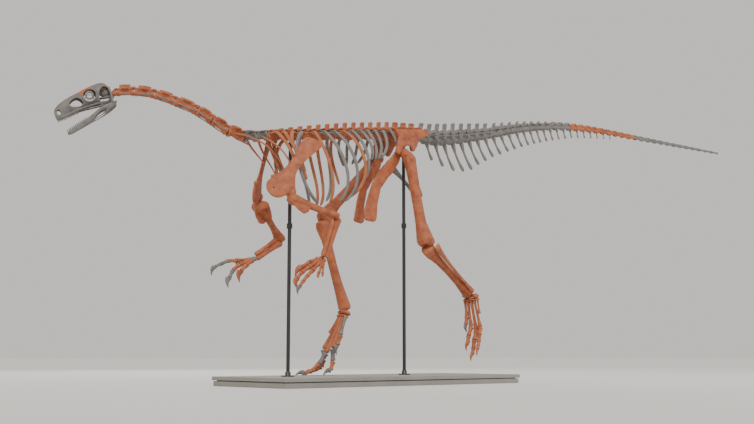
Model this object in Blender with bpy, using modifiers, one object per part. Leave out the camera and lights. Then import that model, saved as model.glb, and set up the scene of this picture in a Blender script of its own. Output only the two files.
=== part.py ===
"""Mounted skeleton of a small long-necked dinosaur, caught in mid stride.

Metres, +Z up. X runs along the trunk with the head towards -X and the tail
towards +X, and the animal's left side is -Y. The origin is the centre of the
underside of the display base.
"""
import math

import bmesh
import bpy
from mathutils import Vector

# ---------------------------------------------------------------- sizes ----
GAP = 0.0003                       # clearance between bones that touch

BASE_SIZE = (1.56, 0.60, 0.045)
BASE_EDGE = 0.006
BASE_TOP = BASE_SIZE[2]
ROD_RADIUS = 0.009
ROD_FLANGE_RADIUS = 0.032
ROD_FLANGE_HEIGHT = 0.010
ROD_SADDLE_HALF = 0.016
ROD_SADDLE_HEIGHT = 0.014
FRONT_ROD_X = -0.55
REAR_ROD_X = 0.21

# The back bone: one axis through the middle of the centra.
TRUNK_PITCH = 8.2                  # degrees, rump higher than shoulders
SACRUM_FRONT = Vector((0.12, 0.0, 1.308))
DORSAL_COUNT = 14
DORSAL_LENGTH = 0.0586
SACRAL_COUNT = 3
SACRAL_LENGTH = 0.060
SACRUM_PITCH = 5.5
CAUDAL_COUNT = 43
CAUDAL_LENGTH = ((1, 0.0660), (12, 0.0652), (14, 0.0600), (24, 0.0585), (43, 0.0565))
TAIL_BEND = 15.0                   # degrees the tail tip turns to the left
TAIL_PITCH = ((0.0, 7.4), (0.10, 8.8), (0.26, 12.6), (0.42, 5.4), (0.62, 0.2), (1.0, -5.4))
NECK_YAW_STEP = 4.3                # degrees each joint turns to the right
NECK_YAW_LIMIT = 26.0
# Length (m) and upward pitch (degrees) of each neck vertebra, C10 to C1.
CERVICALS = (
    (0.064, -14.0), (0.067, -8.0), (0.087, 12.0), (0.090, 29.0), (0.082, 28.0),
    (0.107, 19.0), (0.096, 16.0), (0.090, 4.0), (0.078, -6.0), (0.020, -13.0),
)

# Girdle and limb joints. A pair is (left, right) where the sides differ.
HIP = Vector((0.120, 0.110, 1.190))
KNEE = (Vector((0.200, -0.180, 0.703)), Vector((-0.262, 0.118, 0.834)))
ANKLE = (Vector((0.602, -0.104, 0.478)), Vector((-0.112, 0.100, 0.371)))
FOOT_JOINT = (Vector((0.650, -0.112, 0.2495)), Vector((-0.216, 0.124, 0.157)))
FOOT_HEADING = (-17.0, 13.0)      # degrees from straight ahead towards +Y
TOE_DROOP = ((64.0, 70.0, 58.0, 66.0, 72.0), (56.0, 42.0, 14.0, 8.0, 12.0))
GLENOID = Vector((-0.649, 0.120, 0.903))
ELBOW = (Vector((-0.379, -0.164, 0.809)), Vector((-0.445, 0.208, 0.718)))
WRIST = (Vector((-0.415, -0.112, 0.611)), Vector((-0.607, 0.192, 0.621)))
HAND_HEADING = (10.0, 16.0)

BONE_RUST = (0.56, 0.24, 0.13, 1.0)
BONE_GREY = (0.38, 0.36, 0.33, 1.0)
STEEL_DARK = (0.03, 0.03, 0.035, 1.0)
BOARD_PALE = (0.55, 0.54, 0.52, 1.0)

SIDES = (("left", -1), ("right", 1))


# -------------------------------------------------------------- helpers ----
def clear_scene():
    """Remove every object that the file opens with."""
    for leftover in list(bpy.data.objects):
        bpy.data.objects.remove(leftover, do_unlink=True)


def collection(name, hidden=False):
    """A new collection linked to the scene."""
    group = bpy.data.collections.new(name)
    bpy.context.scene.collection.children.link(group)
    group.hide_render = hidden
    return group


def material(name, colour, roughness, metallic=0.0):
    """A Principled BSDF of one colour."""
    finish = bpy.data.materials.new(name)
    finish.use_nodes = True
    shader = finish.node_tree.nodes["Principled BSDF"]
    shader.inputs["Base Color"].default_value = colour
    shader.inputs["Roughness"].default_value = roughness
    shader.inputs["Metallic"].default_value = metallic
    return finish


def blend(table, place):
    """Read a value from (place, value) pairs, straight between the pairs."""
    if place <= table[0][0]:
        return table[0][1]
    for (low, first), (high, last) in zip(table, table[1:]):
        if place <= high:
            return first + (last - first) * (place - low) / (high - low)
    return table[-1][1]


def direction(pitch, yaw):
    """Unit vector ahead (-X), turned yaw towards +Y and pitch upwards."""
    up, turn = math.radians(pitch), math.radians(yaw)
    return Vector((-math.cos(up) * math.cos(turn), math.cos(up) * math.sin(turn), math.sin(up)))


def frame_along(along, hint):
    """Two unit vectors square to a direction: across it near the hint, and the third."""
    along = along.normalized()
    across = (hint - along * hint.dot(along)).normalized()
    return across, along.cross(across)


def ellipse_ring(centre, across, deep, half_across, half_deep, sides=8, turn=0.5):
    """Points of an ellipse around a centre."""
    ring = []
    for step in range(sides):
        angle = 2.0 * math.pi * (step + turn) / sides
        ring.append(centre + across * (half_across * math.cos(angle)) + deep * (half_deep * math.sin(angle)))
    return ring


def loft(rings):
    """Closed shell through rings of equal count, as (points, faces)."""
    count = len(rings[0])
    points = [point for ring in rings for point in ring]
    faces = []
    for level in range(len(rings) - 1):
        for step in range(count):
            near = level * count + step
            side = level * count + (step + 1) % count
            faces.append((near, side, side + count, near + count))
    faces.append(tuple(reversed(range(count))))
    last = (len(rings) - 1) * count
    faces.append(tuple(range(last, last + count)))
    return points, faces


def tube(path, radii, sides=4, hint=Vector((0.0, 1.0, 0.0))):
    """Closed tube along a path, with a radius at each of its points."""
    rings = []
    for index, point in enumerate(path):
        before = path[max(index - 1, 0)]
        after = path[min(index + 1, len(path) - 1)]
        across, deep = frame_along(after - before, hint)
        rings.append(ellipse_ring(point, across, deep, radii[index], radii[index], sides))
    return loft(rings)


def shaft(start, end, hint, stations, sides=8, before=None, after=None):
    """Bone shaft: stations are (place, half across, half deep, shift across, shift deep).

    Shift deep is towards the tail. Where a neighbour's direction is given, that
    end is cut along the plane halfway between the two bones.
    """
    along = (end - start).normalized()
    across, deep = frame_along(along, hint)
    if deep.x < 0.0:
        deep = -deep
    rings = []
    for level, (place, half_across, half_deep, shift_across, shift_deep) in enumerate(stations):
        centre = start.lerp(end, place) + across * shift_across + deep * shift_deep
        ring = ellipse_ring(centre, across, deep, half_across, half_deep, sides)
        if level == 0 and before:
            ring = mitre(ring, start, along, before.normalized() + along, 0.5 * GAP)
        if level == len(stations) - 1 and after:
            ring = mitre(ring, end, along, after.normalized() + along, -0.5 * GAP)
        rings.append(ring)
    return loft(rings)


def mitre(ring, joint, along, normal, clearance):
    """Slide a ring's points along a bone onto the plane through its joint."""
    normal = normal.normalized()
    seat = joint + normal * clearance
    return [point + along * ((seat - point).dot(normal) / along.dot(normal)) for point in ring]


def slab(origin, along, across, stations, sides=6):
    """Flat bone: stations are (distance, front edge, back edge, half thickness)."""
    along = along.normalized()
    across = (across - along * across.dot(along)).normalized()
    deep = along.cross(across)
    rings = []
    for distance, front, back, thick in stations:
        centre = origin + along * distance + across * (0.5 * (front + back))
        rings.append(ellipse_ring(centre, across, deep, 0.5 * (back - front), thick, sides, 0.0))
    return loft(rings)


def strap(path, across, stations, sides=6):
    """Flat bone along a bent path: stations are (half width, half thickness)."""
    rings = []
    for index, (wide, thick) in enumerate(stations):
        along = path[min(index + 1, len(path) - 1)] - path[max(index - 1, 0)]
        flat, deep = frame_along(along, across)
        rings.append(ellipse_ring(path[index], flat, deep, wide, thick, sides, 0.0))
    return loft(rings)


def mesh_object(name, shells, group, finish=None):
    """One object that holds the given closed shells, faces pointing out."""
    points = []
    faces = []
    for shell_points, shell_faces in shells:
        offset = len(points)
        points.extend(shell_points)
        faces.extend(tuple(corner + offset for corner in face) for face in shell_faces)
    mesh = bpy.data.meshes.new(name)
    mesh.from_pydata([tuple(point) for point in points], [], faces)
    shape = bpy.data.objects.new(name, mesh)
    group.objects.link(shape)
    turn_outwards(mesh)
    if finish:
        mesh.materials.append(finish)
    return shape


def turn_outwards(mesh):
    """Make the faces of every closed shell point out."""
    work = bmesh.new()
    work.from_mesh(mesh)
    bmesh.ops.recalc_face_normals(work, faces=work.faces)
    work.to_mesh(mesh)
    work.free()


def boolean(shape, other, operation):
    """Join or cut a shape with another object."""
    step = shape.modifiers.new(operation.title(), "BOOLEAN")
    step.operation = operation
    step.solver = "EXACT"
    step.use_self = True
    step.object = other


def bone(name, shells, finish, cuts=()):
    """A node: the first shell with the others joined to it and the cuts taken out."""
    shape = mesh_object(name, shells[:1], PARTS, finish)
    if len(shells) > 1:
        boolean(shape, hidden(name + "_growths", shells[1:]), "UNION")
    if cuts:
        boolean(shape, hidden(name + "_openings", cuts), "DIFFERENCE")
    return shape


def hidden(name, shells):
    """Shapes that only serve a Boolean."""
    helper = mesh_object(name, shells, GUIDES)
    helper.hide_render = True
    helper.display_type = "WIRE"
    return helper


# ------------------------------------------------------------ back bone ----
class Vertebra:
    """One vertebra between two joints, with the sizes of its parts."""

    def __init__(self, rear, front, radius, process, spine):
        self.rear = rear                    # joint towards the tail
        self.front = front                  # joint towards the head
        self.radius = radius                # of the centrum's rims
        self.process = process              # reach of the side processes
        self.spine = spine                  # top of the spine above the axis


PROCESS_LIFT = 1.15                # height of the side processes, in centrum radii
PROCESS_HALF = 0.006
SPINE_HALF = 0.0045
WAIST = 0.80                       # of the rim radius
SPINE_FRONT = 0.68                 # ends of a spine along its vertebra
SPINE_REAR = 0.12
SPINE_NOTCH = 0.66                 # height left between spines, of their own height

NECK_RADIUS = ((1, 0.012), (2, 0.0145), (4, 0.016), (6, 0.019), (8, 0.021), (10, 0.023))
NECK_SPINE = ((1, 0.020), (2, 0.040), (4, 0.038), (6, 0.040), (8, 0.042), (9, 0.036), (10, 0.030))
NECK_PROCESS = ((1, 0.013), (2, 0.020), (6, 0.030), (8, 0.036), (10, 0.048))
BACK_RADIUS = ((1, 0.023), (14, 0.0255))
BACK_SPINE = ((1, 0.032), (3, 0.044), (6, 0.058), (9, 0.069), (14, 0.074))
BACK_PROCESS = ((1, 0.052), (8, 0.060), (14, 0.056))
SACRUM_RADIUS = 0.027
SACRUM_SPINE = 0.074
SACRUM_PROCESS = 0.0857
TAIL_RADIUS = ((1, 0.031), (4, 0.029), (8, 0.022), (13, 0.018), (22, 0.0145), (32, 0.0115), (43, 0.0065))
TAIL_SPINE = ((1, 0.074), (4, 0.074), (8, 0.056), (12, 0.034), (16, 0.027), (24, 0.020), (34, 0.014), (43, 0.0075))
TAIL_PROCESS = ((1, 0.066), (5, 0.050), (10, 0.030), (14, 0.018), (15, 0.0))


def back_bone():
    """Every vertebra from the head to the tail tip, by its length of the body."""
    ahead = direction(-TRUNK_PITCH, 0.0)
    lengths = {"neck": [], "back": [], "sacrum": [], "tail": []}
    joint = SACRUM_FRONT
    for place in range(DORSAL_COUNT, 0, -1):
        nose = joint + ahead * DORSAL_LENGTH
        lengths["back"].insert(0, Vertebra(joint, nose, blend(BACK_RADIUS, place),
                                           blend(BACK_PROCESS, place), blend(BACK_SPINE, place)))
        joint = nose
    for step, (length, pitch) in enumerate(CERVICALS):
        place = len(CERVICALS) - step
        yaw = min(step * NECK_YAW_STEP, NECK_YAW_LIMIT)
        nose = joint + direction(pitch, yaw) * length
        lengths["neck"].insert(0, Vertebra(joint, nose, blend(NECK_RADIUS, place),
                                           blend(NECK_PROCESS, place), blend(NECK_SPINE, place)))
        joint = nose
    joint = SACRUM_FRONT
    for place in range(SACRAL_COUNT):
        rump = joint - direction(-SACRUM_PITCH, 0.0) * SACRAL_LENGTH
        lengths["sacrum"].append(Vertebra(rump, joint, SACRUM_RADIUS, SACRUM_PROCESS, SACRUM_SPINE))
        joint = rump
    for place in range(1, CAUDAL_COUNT + 1):
        along = (place - 1) / (CAUDAL_COUNT - 1)
        heading = direction(-blend(TAIL_PITCH, along), TAIL_BEND * along)
        rump = joint - heading * blend(CAUDAL_LENGTH, place)
        lengths["tail"].append(Vertebra(rump, joint, blend(TAIL_RADIUS, place),
                                        blend(TAIL_PROCESS, place), blend(TAIL_SPINE, place)))
        joint = rump
    return lengths


def section(centre, ahead, radius, process, spine, half=0):
    """Outline across a vertebra. half is -1 or 1 for one side of it, 0 for both."""
    across, up = frame_along(ahead, Vector((0.0, 1.0, 0.0)))
    if up.z < 0.0:
        up = -up
    if across.y < 0.0:
        across = -across
    lift = min(radius * PROCESS_LIFT, spine - 1.8 * PROCESS_HALF)
    lift = max(lift, 0.4 * radius + PROCESS_HALF)
    side = [
        (0.80 * radius, -0.60 * radius), (radius, 0.30 * radius),
        (max(process, 0.75 * radius), lift - PROCESS_HALF), (max(process, 0.75 * radius), lift + PROCESS_HALF),
        (SPINE_HALF, lift + 1.5 * PROCESS_HALF), (SPINE_HALF, max(spine, lift + 1.8 * PROCESS_HALF)),
    ]
    if half:
        middle = 0.5 * GAP
        outline = [(middle, -radius)] + side + [(middle, side[-1][1])]
        outline = [(reach * half, height) for reach, height in outline]
    else:
        outline = [(0.0, -radius)] + side + [(-reach, height) for reach, height in reversed(side)]
    return [centre + across * reach + up * height for reach, height in outline]


def tail_section(centre, ahead, radius, spine):
    """Plain outline across a small vertebra of the tail."""
    across, up = frame_along(ahead, Vector((0.0, 1.0, 0.0)))
    if up.z < 0.0:
        up = -up
    outline = [(0.0, -radius), (radius, -0.2 * radius), (0.45 * radius, radius), (0.003, spine),
               (-0.003, spine), (-0.45 * radius, radius), (-radius, -0.2 * radius)]
    return [centre + across * reach + up * height for reach, height in outline]


def column(run, before, after, half=0, small=False):
    """One shell along a run of vertebrae, head end first."""
    rings = []
    neighbours = [before] + list(run) + [after]
    for place, one in enumerate(run, start=1):
        ahead = (one.front - one.rear).normalized()
        nearer = neighbours[place - 1]
        lean = (nearer.front - nearer.rear).normalized() + ahead if nearer else ahead
        start = one.front - lean.normalized() * (0.5 * GAP if place == 1 else 0.0)
        if small:
            rings.append(tail_section(start, lean, one.radius, one.radius * 1.1))
            rings.append(tail_section(one.front.lerp(one.rear, 0.5), ahead, one.radius * WAIST, one.spine))
            continue
        low = one.spine * SPINE_NOTCH
        rings.append(section(start, lean, one.radius, 0.0, low, half))
        for share in (1.0 - SPINE_FRONT, 1.0 - SPINE_REAR):
            centre = one.front.lerp(one.rear, share)
            reach = one.process if share < 0.5 else 0.6 * one.process
            rings.append(section(centre, ahead, one.radius * WAIST, reach, one.spine, half))
    last = run[-1]
    ahead = (last.front - last.rear).normalized()
    lean = (after.front - after.rear).normalized() + ahead if after else ahead
    end = last.rear + lean.normalized() * (0.5 * GAP)
    if small:
        rings.append(tail_section(end, lean, last.radius, last.radius * 1.1))
    else:
        rings.append(section(end, lean, last.radius, 0.0, last.spine * SPINE_NOTCH, half))
    return loft(rings)


# ----------------------------------------------------------------- ribs ----
RIB_REACH = ((1, 0.075), (3, 0.088), (4, 0.095), (5, 0.112), (6, 0.130), (7, 0.142), (9, 0.140), (11, 0.118),
             (14, 0.080))
RIB_DROP = ((1, 0.175), (2, 0.219), (3, 0.251), (4, 0.372), (7, 0.371), (8, 0.350), (9, 0.267),
            (10, 0.171), (13, 0.159), (14, 0.078))
RIB_SWEEP = ((1, 95.0), (3, 120.0), (4, 140.0), (9, 140.0), (10, 125.0), (11, 105.0), (14, 80.0))
RIB_MID_BACK = ((1, 0.050), (2, 0.030), (3, -0.025), (4, -0.070), (5, 0.045), (6, 0.069), (8, 0.074), (9, 0.030),
                (10, 0.007), (11, -0.007), (14, -0.009))
RIB_TIP_BACK = ((1, 0.110), (2, 0.100), (3, 0.050), (4, 0.070), (5, 0.077), (6, 0.071), (7, 0.047), (8, 0.025),
                (9, 0.050), (10, 0.033), (11, -0.004), (12, -0.032), (13, -0.060), (14, 0.0))
RIB_BOW = ((1, -0.02), (2, -0.08), (3, -0.10), (4, -0.02), (5, -0.15), (6, -0.23), (8, -0.19), (10, -0.08),
           (13, -0.11), (14, -0.05))  # upper half bent ahead, lower half back
RIB_ROOT = 0.026                   # out from the middle, inside the side process
RIB_TOP_ANGLE = 14.0
RIB_STEPS = 6
RIB_RADII = (0.0065, 0.0042)       # at the head and at the tip


def rib(one, place, side):
    """A rib that leaves a vertebra's side process and curves down round the chest."""
    ahead = (one.front - one.rear).normalized()
    head = one.front.lerp(one.rear, 0.36) + Vector((0.0, 0.0, one.radius * PROCESS_LIFT))
    sweep = math.radians(blend(RIB_SWEEP, place))
    first = math.radians(RIB_TOP_ANGLE)
    depth = blend(RIB_DROP, place) / (1.0 - math.cos(sweep))
    reach = blend(RIB_REACH, place)
    mid_back, tip_back = blend(RIB_MID_BACK, place), blend(RIB_TIP_BACK, place)
    bow = blend(RIB_BOW, place)
    path, radii = [], []
    for step in range(RIB_STEPS + 1):
        share = step / RIB_STEPS
        angle = first + (sweep - first) * share
        middle = 4.0 * share * (1.0 - share)
        back = tip_back * share + (mid_back - 0.5 * tip_back) * middle
        back += bow * share * (1.0 - share) * (1.0 - 2.0 * share)
        out = RIB_ROOT + (reach - RIB_ROOT) * math.sin(angle) if step else RIB_ROOT
        path.append(head - ahead * back + Vector((0.0, side * out, -depth * (1.0 - math.cos(angle)))))
        radii.append(RIB_RADII[0] + (RIB_RADII[1] - RIB_RADII[0]) * share)
    return tube(path, radii, 4, Vector((1.0, 0.0, 0.0)))


NECK_RIB_RADIUS = 0.0028
LONG_NECK_RIBS = {8: (0.125, 0.030, 0.030), 9: (0.150, 0.110, 0.045), 10: (0.165, 0.170, 0.060)}


def neck_rib(one, side):
    """Thin rod low on the side of a neck vertebra, running back along it."""
    along = one.rear - one.front
    across, up = frame_along(along, Vector((0.0, 1.0, 0.0)))
    if up.z < 0.0:
        up = -up
    if across.y < 0.0:
        across = -across
    low = across * (side * 0.95 * one.radius) - up * (0.55 * one.radius)
    far = across * (side * 1.30 * one.radius) - up * (0.75 * one.radius)
    path = [one.front + along * 0.16 + low * 0.6, one.front + along * 0.30 + far, one.front + along * 0.97 + far]
    return tube(path, [2.0 * NECK_RIB_RADIUS, 1.3 * NECK_RIB_RADIUS, NECK_RIB_RADIUS], 3)


def long_neck_rib(one, place, side):
    """Rod from a rear neck vertebra that reaches back and down beside the chest."""
    back, drop, out = LONG_NECK_RIBS[place]
    start = one.front.lerp(one.rear, 0.34) + Vector((0.0, side * 0.75 * one.radius, 0.0))
    path = []
    for share in (0.0, 0.22, 0.58, 1.0):
        reach = out * math.sin(math.pi * 0.5 * min(share * 1.6, 1.0))
        path.append(start + Vector((back * share, side * reach, -drop * (0.55 * share + 0.45 * share * share))))
    return tube(path, [0.0070, 0.0055, 0.0045, 0.0032], 4)


CHEVRON_COUNT = 26
CHEVRON_LENGTH = ((1, 0.125), (2, 0.155), (4, 0.205), (6, 0.200), (9, 0.145), (12, 0.116), (16, 0.086),
                  (20, 0.050), (24, 0.034), (26, 0.026))
CHEVRON_LEAN = ((1, 24.0), (3, 27.0), (10, 30.0), (16, 20.0), (22, 10.0), (26, 4.0))
CHEVRON_SHIFT = ((1, 0.018), (12, 0.034), (18, 0.018), (26, 0.010))
CHEVRON_RADIUS = ((1, 0.0070), (10, 0.0062), (26, 0.0042))


def chevron(one, place):
    """Blade that hangs under the joint behind a tail vertebra and leans back."""
    lean = math.radians(blend(CHEVRON_LEAN, place))
    back = (one.rear - one.front).normalized()
    down = Vector((0.0, 0.0, -1.0))
    hang = back * math.sin(lean) + down * math.cos(lean)
    radius = blend(CHEVRON_RADIUS, place)
    top = one.rear + back * blend(CHEVRON_SHIFT, place) + down * (0.55 * one.radius)
    length = blend(CHEVRON_LENGTH, place) + 0.45 * one.radius
    path = [top, top + hang * length * 0.55, top + hang * length * 0.88, top + hang * length]
    return tube(path, [1.3 * radius, 0.9 * radius, 1.25 * radius, 0.6 * radius], 4)


def neck(run, behind, finish):
    """Three lengths of the neck, each with the rods on its sides."""
    for name, first, last in (("neck_front", 0, 4), ("neck_middle", 4, 7), ("neck_rear", 7, 10)):
        before = run[first - 1] if first else None
        after = run[last] if last < len(run) else behind
        rods = [neck_rib(run[place], side) for place in range(max(first, 1), min(last, 7)) for _, side in SIDES]
        rods += [long_neck_rib(run[place], place + 1, side) for place in range(max(first, 7), last) for _, side in SIDES]
        bone(name, [column(run[first:last], before, after)] + rods, finish)


def trunk(run, before, after, finish):
    """Both halves of the rib cage, each with its half of the back bone."""
    for name, side in SIDES:
        ribs = [rib(one, place, side) for place, one in enumerate(run, start=1)]
        bone("trunk_" + name, [column(run, before, after, side)] + ribs, finish)


def tail(run, before, finish):
    """Four lengths of the tail with the blades under it."""
    for name, first, last in (("tail_base", 0, 10), ("tail_middle", 10, 21), ("tail_rear", 21, 32),
                              ("tail_tip", 32, CAUDAL_COUNT)):
        ahead = run[first - 1] if first else before
        behind = run[last] if last < len(run) else None
        blades = [chevron(run[place], place + 1) for place in range(first, min(last, CHEVRON_COUNT))
                  if place + 1 < last]
        shell = column(run[first:last], ahead, behind, small=first >= 10)
        bone(name, [shell] + blades, finish)


# ----------------------------------------------------------------- head ----
SKULL_PITCH = -18.5
SKULL_YAW = 26.0
# Skull sections: distance from the neck, top, bottom, half width.
SKULL_SECTIONS = (
    (0.002, 0.044, -0.020, 0.026), (0.014, 0.070, -0.022, 0.036), (0.036, 0.080, -0.020, 0.043),
    (0.068, 0.077, -0.019, 0.047), (0.100, 0.072, -0.020, 0.043), (0.138, 0.061, -0.021, 0.035),
    (0.180, 0.052, -0.025, 0.028), (0.214, 0.042, -0.032, 0.023), (0.244, 0.028, -0.037, 0.018),
    (0.262, 0.014, -0.040, 0.012), (0.269, 0.002, -0.030, 0.006),
)
ORBIT_PLACE = (0.100, 0.029)
ORBIT_RADIUS = 0.029
NOSTRIL_PLACE = (0.246, 0.004)
NOSTRIL_HALF = (0.008, 0.013)
SNOUT_OPENING = ((0.193, 0.019), (0.158, 0.036), (0.139, 0.012), (0.146, -0.004), (0.184, 0.001))
CHEEK_OPENING = ((0.044, 0.040), (0.020, 0.036), (0.022, -0.010), (0.058, -0.008))
JAW_PITCH = -37.3
JAW_LENGTH = 0.245
SKULL_DROP = 0.018                 # the skull's axis runs below the neck's
JAW_HINGE_DROP = 0.030             # below the skull's axis
JAW_HALF_SPREAD = 0.036
JAW_SECTIONS = (                   # distance, top, bottom, half thickness
    (-0.012, 0.006, -0.006, 0.0040), (0.010, 0.010, -0.014, 0.0055), (0.045, 0.019, -0.016, 0.0055),
    (0.085, 0.015, -0.016, 0.0050), (0.130, 0.012, -0.014, 0.0050), (0.200, 0.011, -0.012, 0.0050),
    (0.238, 0.011, -0.012, 0.0050), (0.247, 0.006, -0.007, 0.0035),
)


def head_frame(pitch):
    """Forward, left-to-right and up directions of the head."""
    forward = direction(pitch, SKULL_YAW)
    across = direction(0.0, SKULL_YAW - 90.0) * -1.0
    return forward, across, across.cross(forward)


def prism(origin, forward, up, across, outline, half_depth):
    """Bar with the given outline, straight through the head from side to side."""
    rings = []
    for reach in (-half_depth, half_depth):
        rings.append([origin + forward * ahead + up * height + across * reach for ahead, height in outline])
    return loft(rings)


def oval(place, half_ahead, half_high, sides=10):
    """Outline of an oval."""
    return [(place[0] + half_ahead * math.cos(2.0 * math.pi * step / sides),
             place[1] + half_high * math.sin(2.0 * math.pi * step / sides)) for step in range(sides)]


def head(atlas, finish):
    """The skull with its openings, and the lower jaw."""
    forward, across, up = head_frame(SKULL_PITCH)
    neck_joint = atlas.front + forward * (2.0 * GAP) - up * SKULL_DROP
    rings = []
    for ahead, top, bottom, half_width in SKULL_SECTIONS:
        centre = neck_joint + forward * ahead + up * (0.5 * (top + bottom))
        rings.append(ellipse_ring(centre, across, up, half_width * 1.08, 0.54 * (top - bottom), 8))
    outlines = [oval(ORBIT_PLACE, ORBIT_RADIUS, ORBIT_RADIUS), oval(NOSTRIL_PLACE, *NOSTRIL_HALF, 6),
                SNOUT_OPENING, CHEEK_OPENING]
    bone("skull", [loft(rings)], finish,
         [prism(neck_joint, forward, up, across, outline, 0.08) for outline in outlines])
    hinge = neck_joint + forward * 0.004 - up * JAW_HINGE_DROP
    jaw_forward, _, jaw_up = head_frame(JAW_PITCH)
    rami = []
    for _, side in SIDES:
        start = hinge + across * (side * JAW_HALF_SPREAD)
        chin = hinge + jaw_forward * JAW_LENGTH + across * (side * 0.0025)
        rami.append(slab(start, chin - start, jaw_up * -1.0,
                         [(ahead, -top, -bottom, thick) for ahead, top, bottom, thick in JAW_SECTIONS]))
    bone("lower_jaw", rami, finish)


# ---------------------------------------------------- shoulder and arms ----
BLADE_TOP = (Vector((-0.503, -0.130, 1.182)), Vector((-0.600, 0.118, 1.160)))
CORACOID_FRONT = Vector((-0.730, 0.040, 0.960))
# Shoulder blade and coracoid: distance up the blade, front edge, back edge, half thickness.
SHOULDER_SECTIONS = (
    (-0.040, -0.066, -0.036, 0.006), (-0.022, -0.102, -0.010, 0.010), (0.006, -0.117, 0.010, 0.012),
    (0.024, -0.116, 0.030, 0.013), (0.050, -0.104, 0.022, 0.012), (0.085, -0.086, 0.002, 0.010),
    (0.125, -0.064, -0.008, 0.008), (0.195, -0.054, 0.014, 0.006), (0.250, -0.054, 0.036, 0.005),
    (0.290, -0.056, 0.060, 0.004), (0.318, -0.040, 0.044, 0.003),
)
HUMERUS = (
    (0.01, 0.026, 0.020, 0.0, 0.0), (0.06, 0.040, 0.034, 0.0, -0.004), (0.22, 0.036, 0.038, 0.0, -0.012),
    (0.38, 0.024, 0.038, 0.0, -0.018), (0.47, 0.017, 0.020, 0.0, -0.002), (0.68, 0.016, 0.018, 0.0, 0.0),
    (0.80, 0.024, 0.018, 0.0, 0.0), (0.90, 0.031, 0.0175, 0.0, 0.0), (1.0, 0.025, 0.0150, 0.0, 0.0),
)
HUMERUS_FACE = (Vector((0.0, -1.0, 0.0)), Vector((-0.50, 0.86, 0.0)))  # way that its broad upper end lies
ULNA = (
    (0.0, 0.014, 0.0150, 0.0, 0.002), (0.18, 0.013, 0.018, 0.0, 0.004), (0.45, 0.009, 0.010, 0.0, 0.006),
    (0.85, 0.009, 0.010, 0.0, 0.006), (1.0, 0.011, 0.011, 0.0, 0.006),
)
RADIUS = (
    (0.20, 0.010, 0.009, 0.0, -0.026), (0.34, 0.009, 0.008, 0.0, -0.022), (0.50, 0.007, 0.0065, 0.0, -0.020),
    (0.85, 0.009, 0.008, 0.0, -0.017), (0.985, 0.011, 0.009, 0.0, -0.017),
)
CARPUS_LENGTH = 0.022
CARPUS = ((0.0, 0.020, 0.018, 0.0, -0.004), (0.5, 0.030, 0.016, 0.0, 0.0), (1.0, 0.033, 0.012, 0.0, 0.0))
HAND_SPACING = 0.0158
HAND_SLOPE = (40.0, 18.0)          # of the palm, left and right
HAND_ROLL = (0.70, -0.20)          # how far the fifth finger lies below the first
# Bones of each hand digit from the wrist out, in metres.
HAND_BONES = (
    (0.048, 0.048, 0.066), (0.070, 0.048, 0.042, 0.052), (0.070, 0.044, 0.038, 0.032, 0.048),
    (0.050, 0.022), (0.038, 0.016),
)
# Downward slope of each of those bones, in degrees, for the left and right hands.
HAND_DROOP = (
    ((24.0, 30.0, 54.0), (32.0, 36.0, 50.0, 84.0), (44.0, 44.0, 50.0, 54.0, 70.0), (68.0, 76.0), (84.0, 92.0)),
    ((38.0, 44.0, 80.0), (22.0, 40.0, 64.0, 80.0), (6.0, 3.0, 26.0, 24.0, 66.0), (16.0, 34.0), (26.0, 40.0)),
)
HAND_RADIUS = 0.0108
HAND_ROOT_RADIUS = 0.0072


def digit(start, forward, bones, droops, radius, sides=5, claw=True):
    """One finger or toe: thick joints, slim shafts, and a pointed claw."""
    path, radii = [start], [min(radius, HAND_ROOT_RADIUS)]
    for place, (length, droop) in enumerate(zip(bones, droops)):
        slope = math.radians(droop)
        step = (forward * math.cos(slope) - Vector((0.0, 0.0, math.sin(slope)))) * length
        size = radius * (1.0 - 0.10 * place)
        tip = place == len(bones) - 1
        path.extend((path[-1] + step * 0.5, path[-1] + step))
        radii.extend((size * (0.85 if tip and claw else 0.62), size * (0.22 if tip and claw else 0.95)))
    return tube(path, radii, sides, forward.cross(Vector((0.0, 0.0, 1.0))))


def outward(forward, side):
    """Horizontal direction from the first digit to the fifth."""
    return Vector((forward.y, -forward.x, 0.0)) * side


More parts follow.
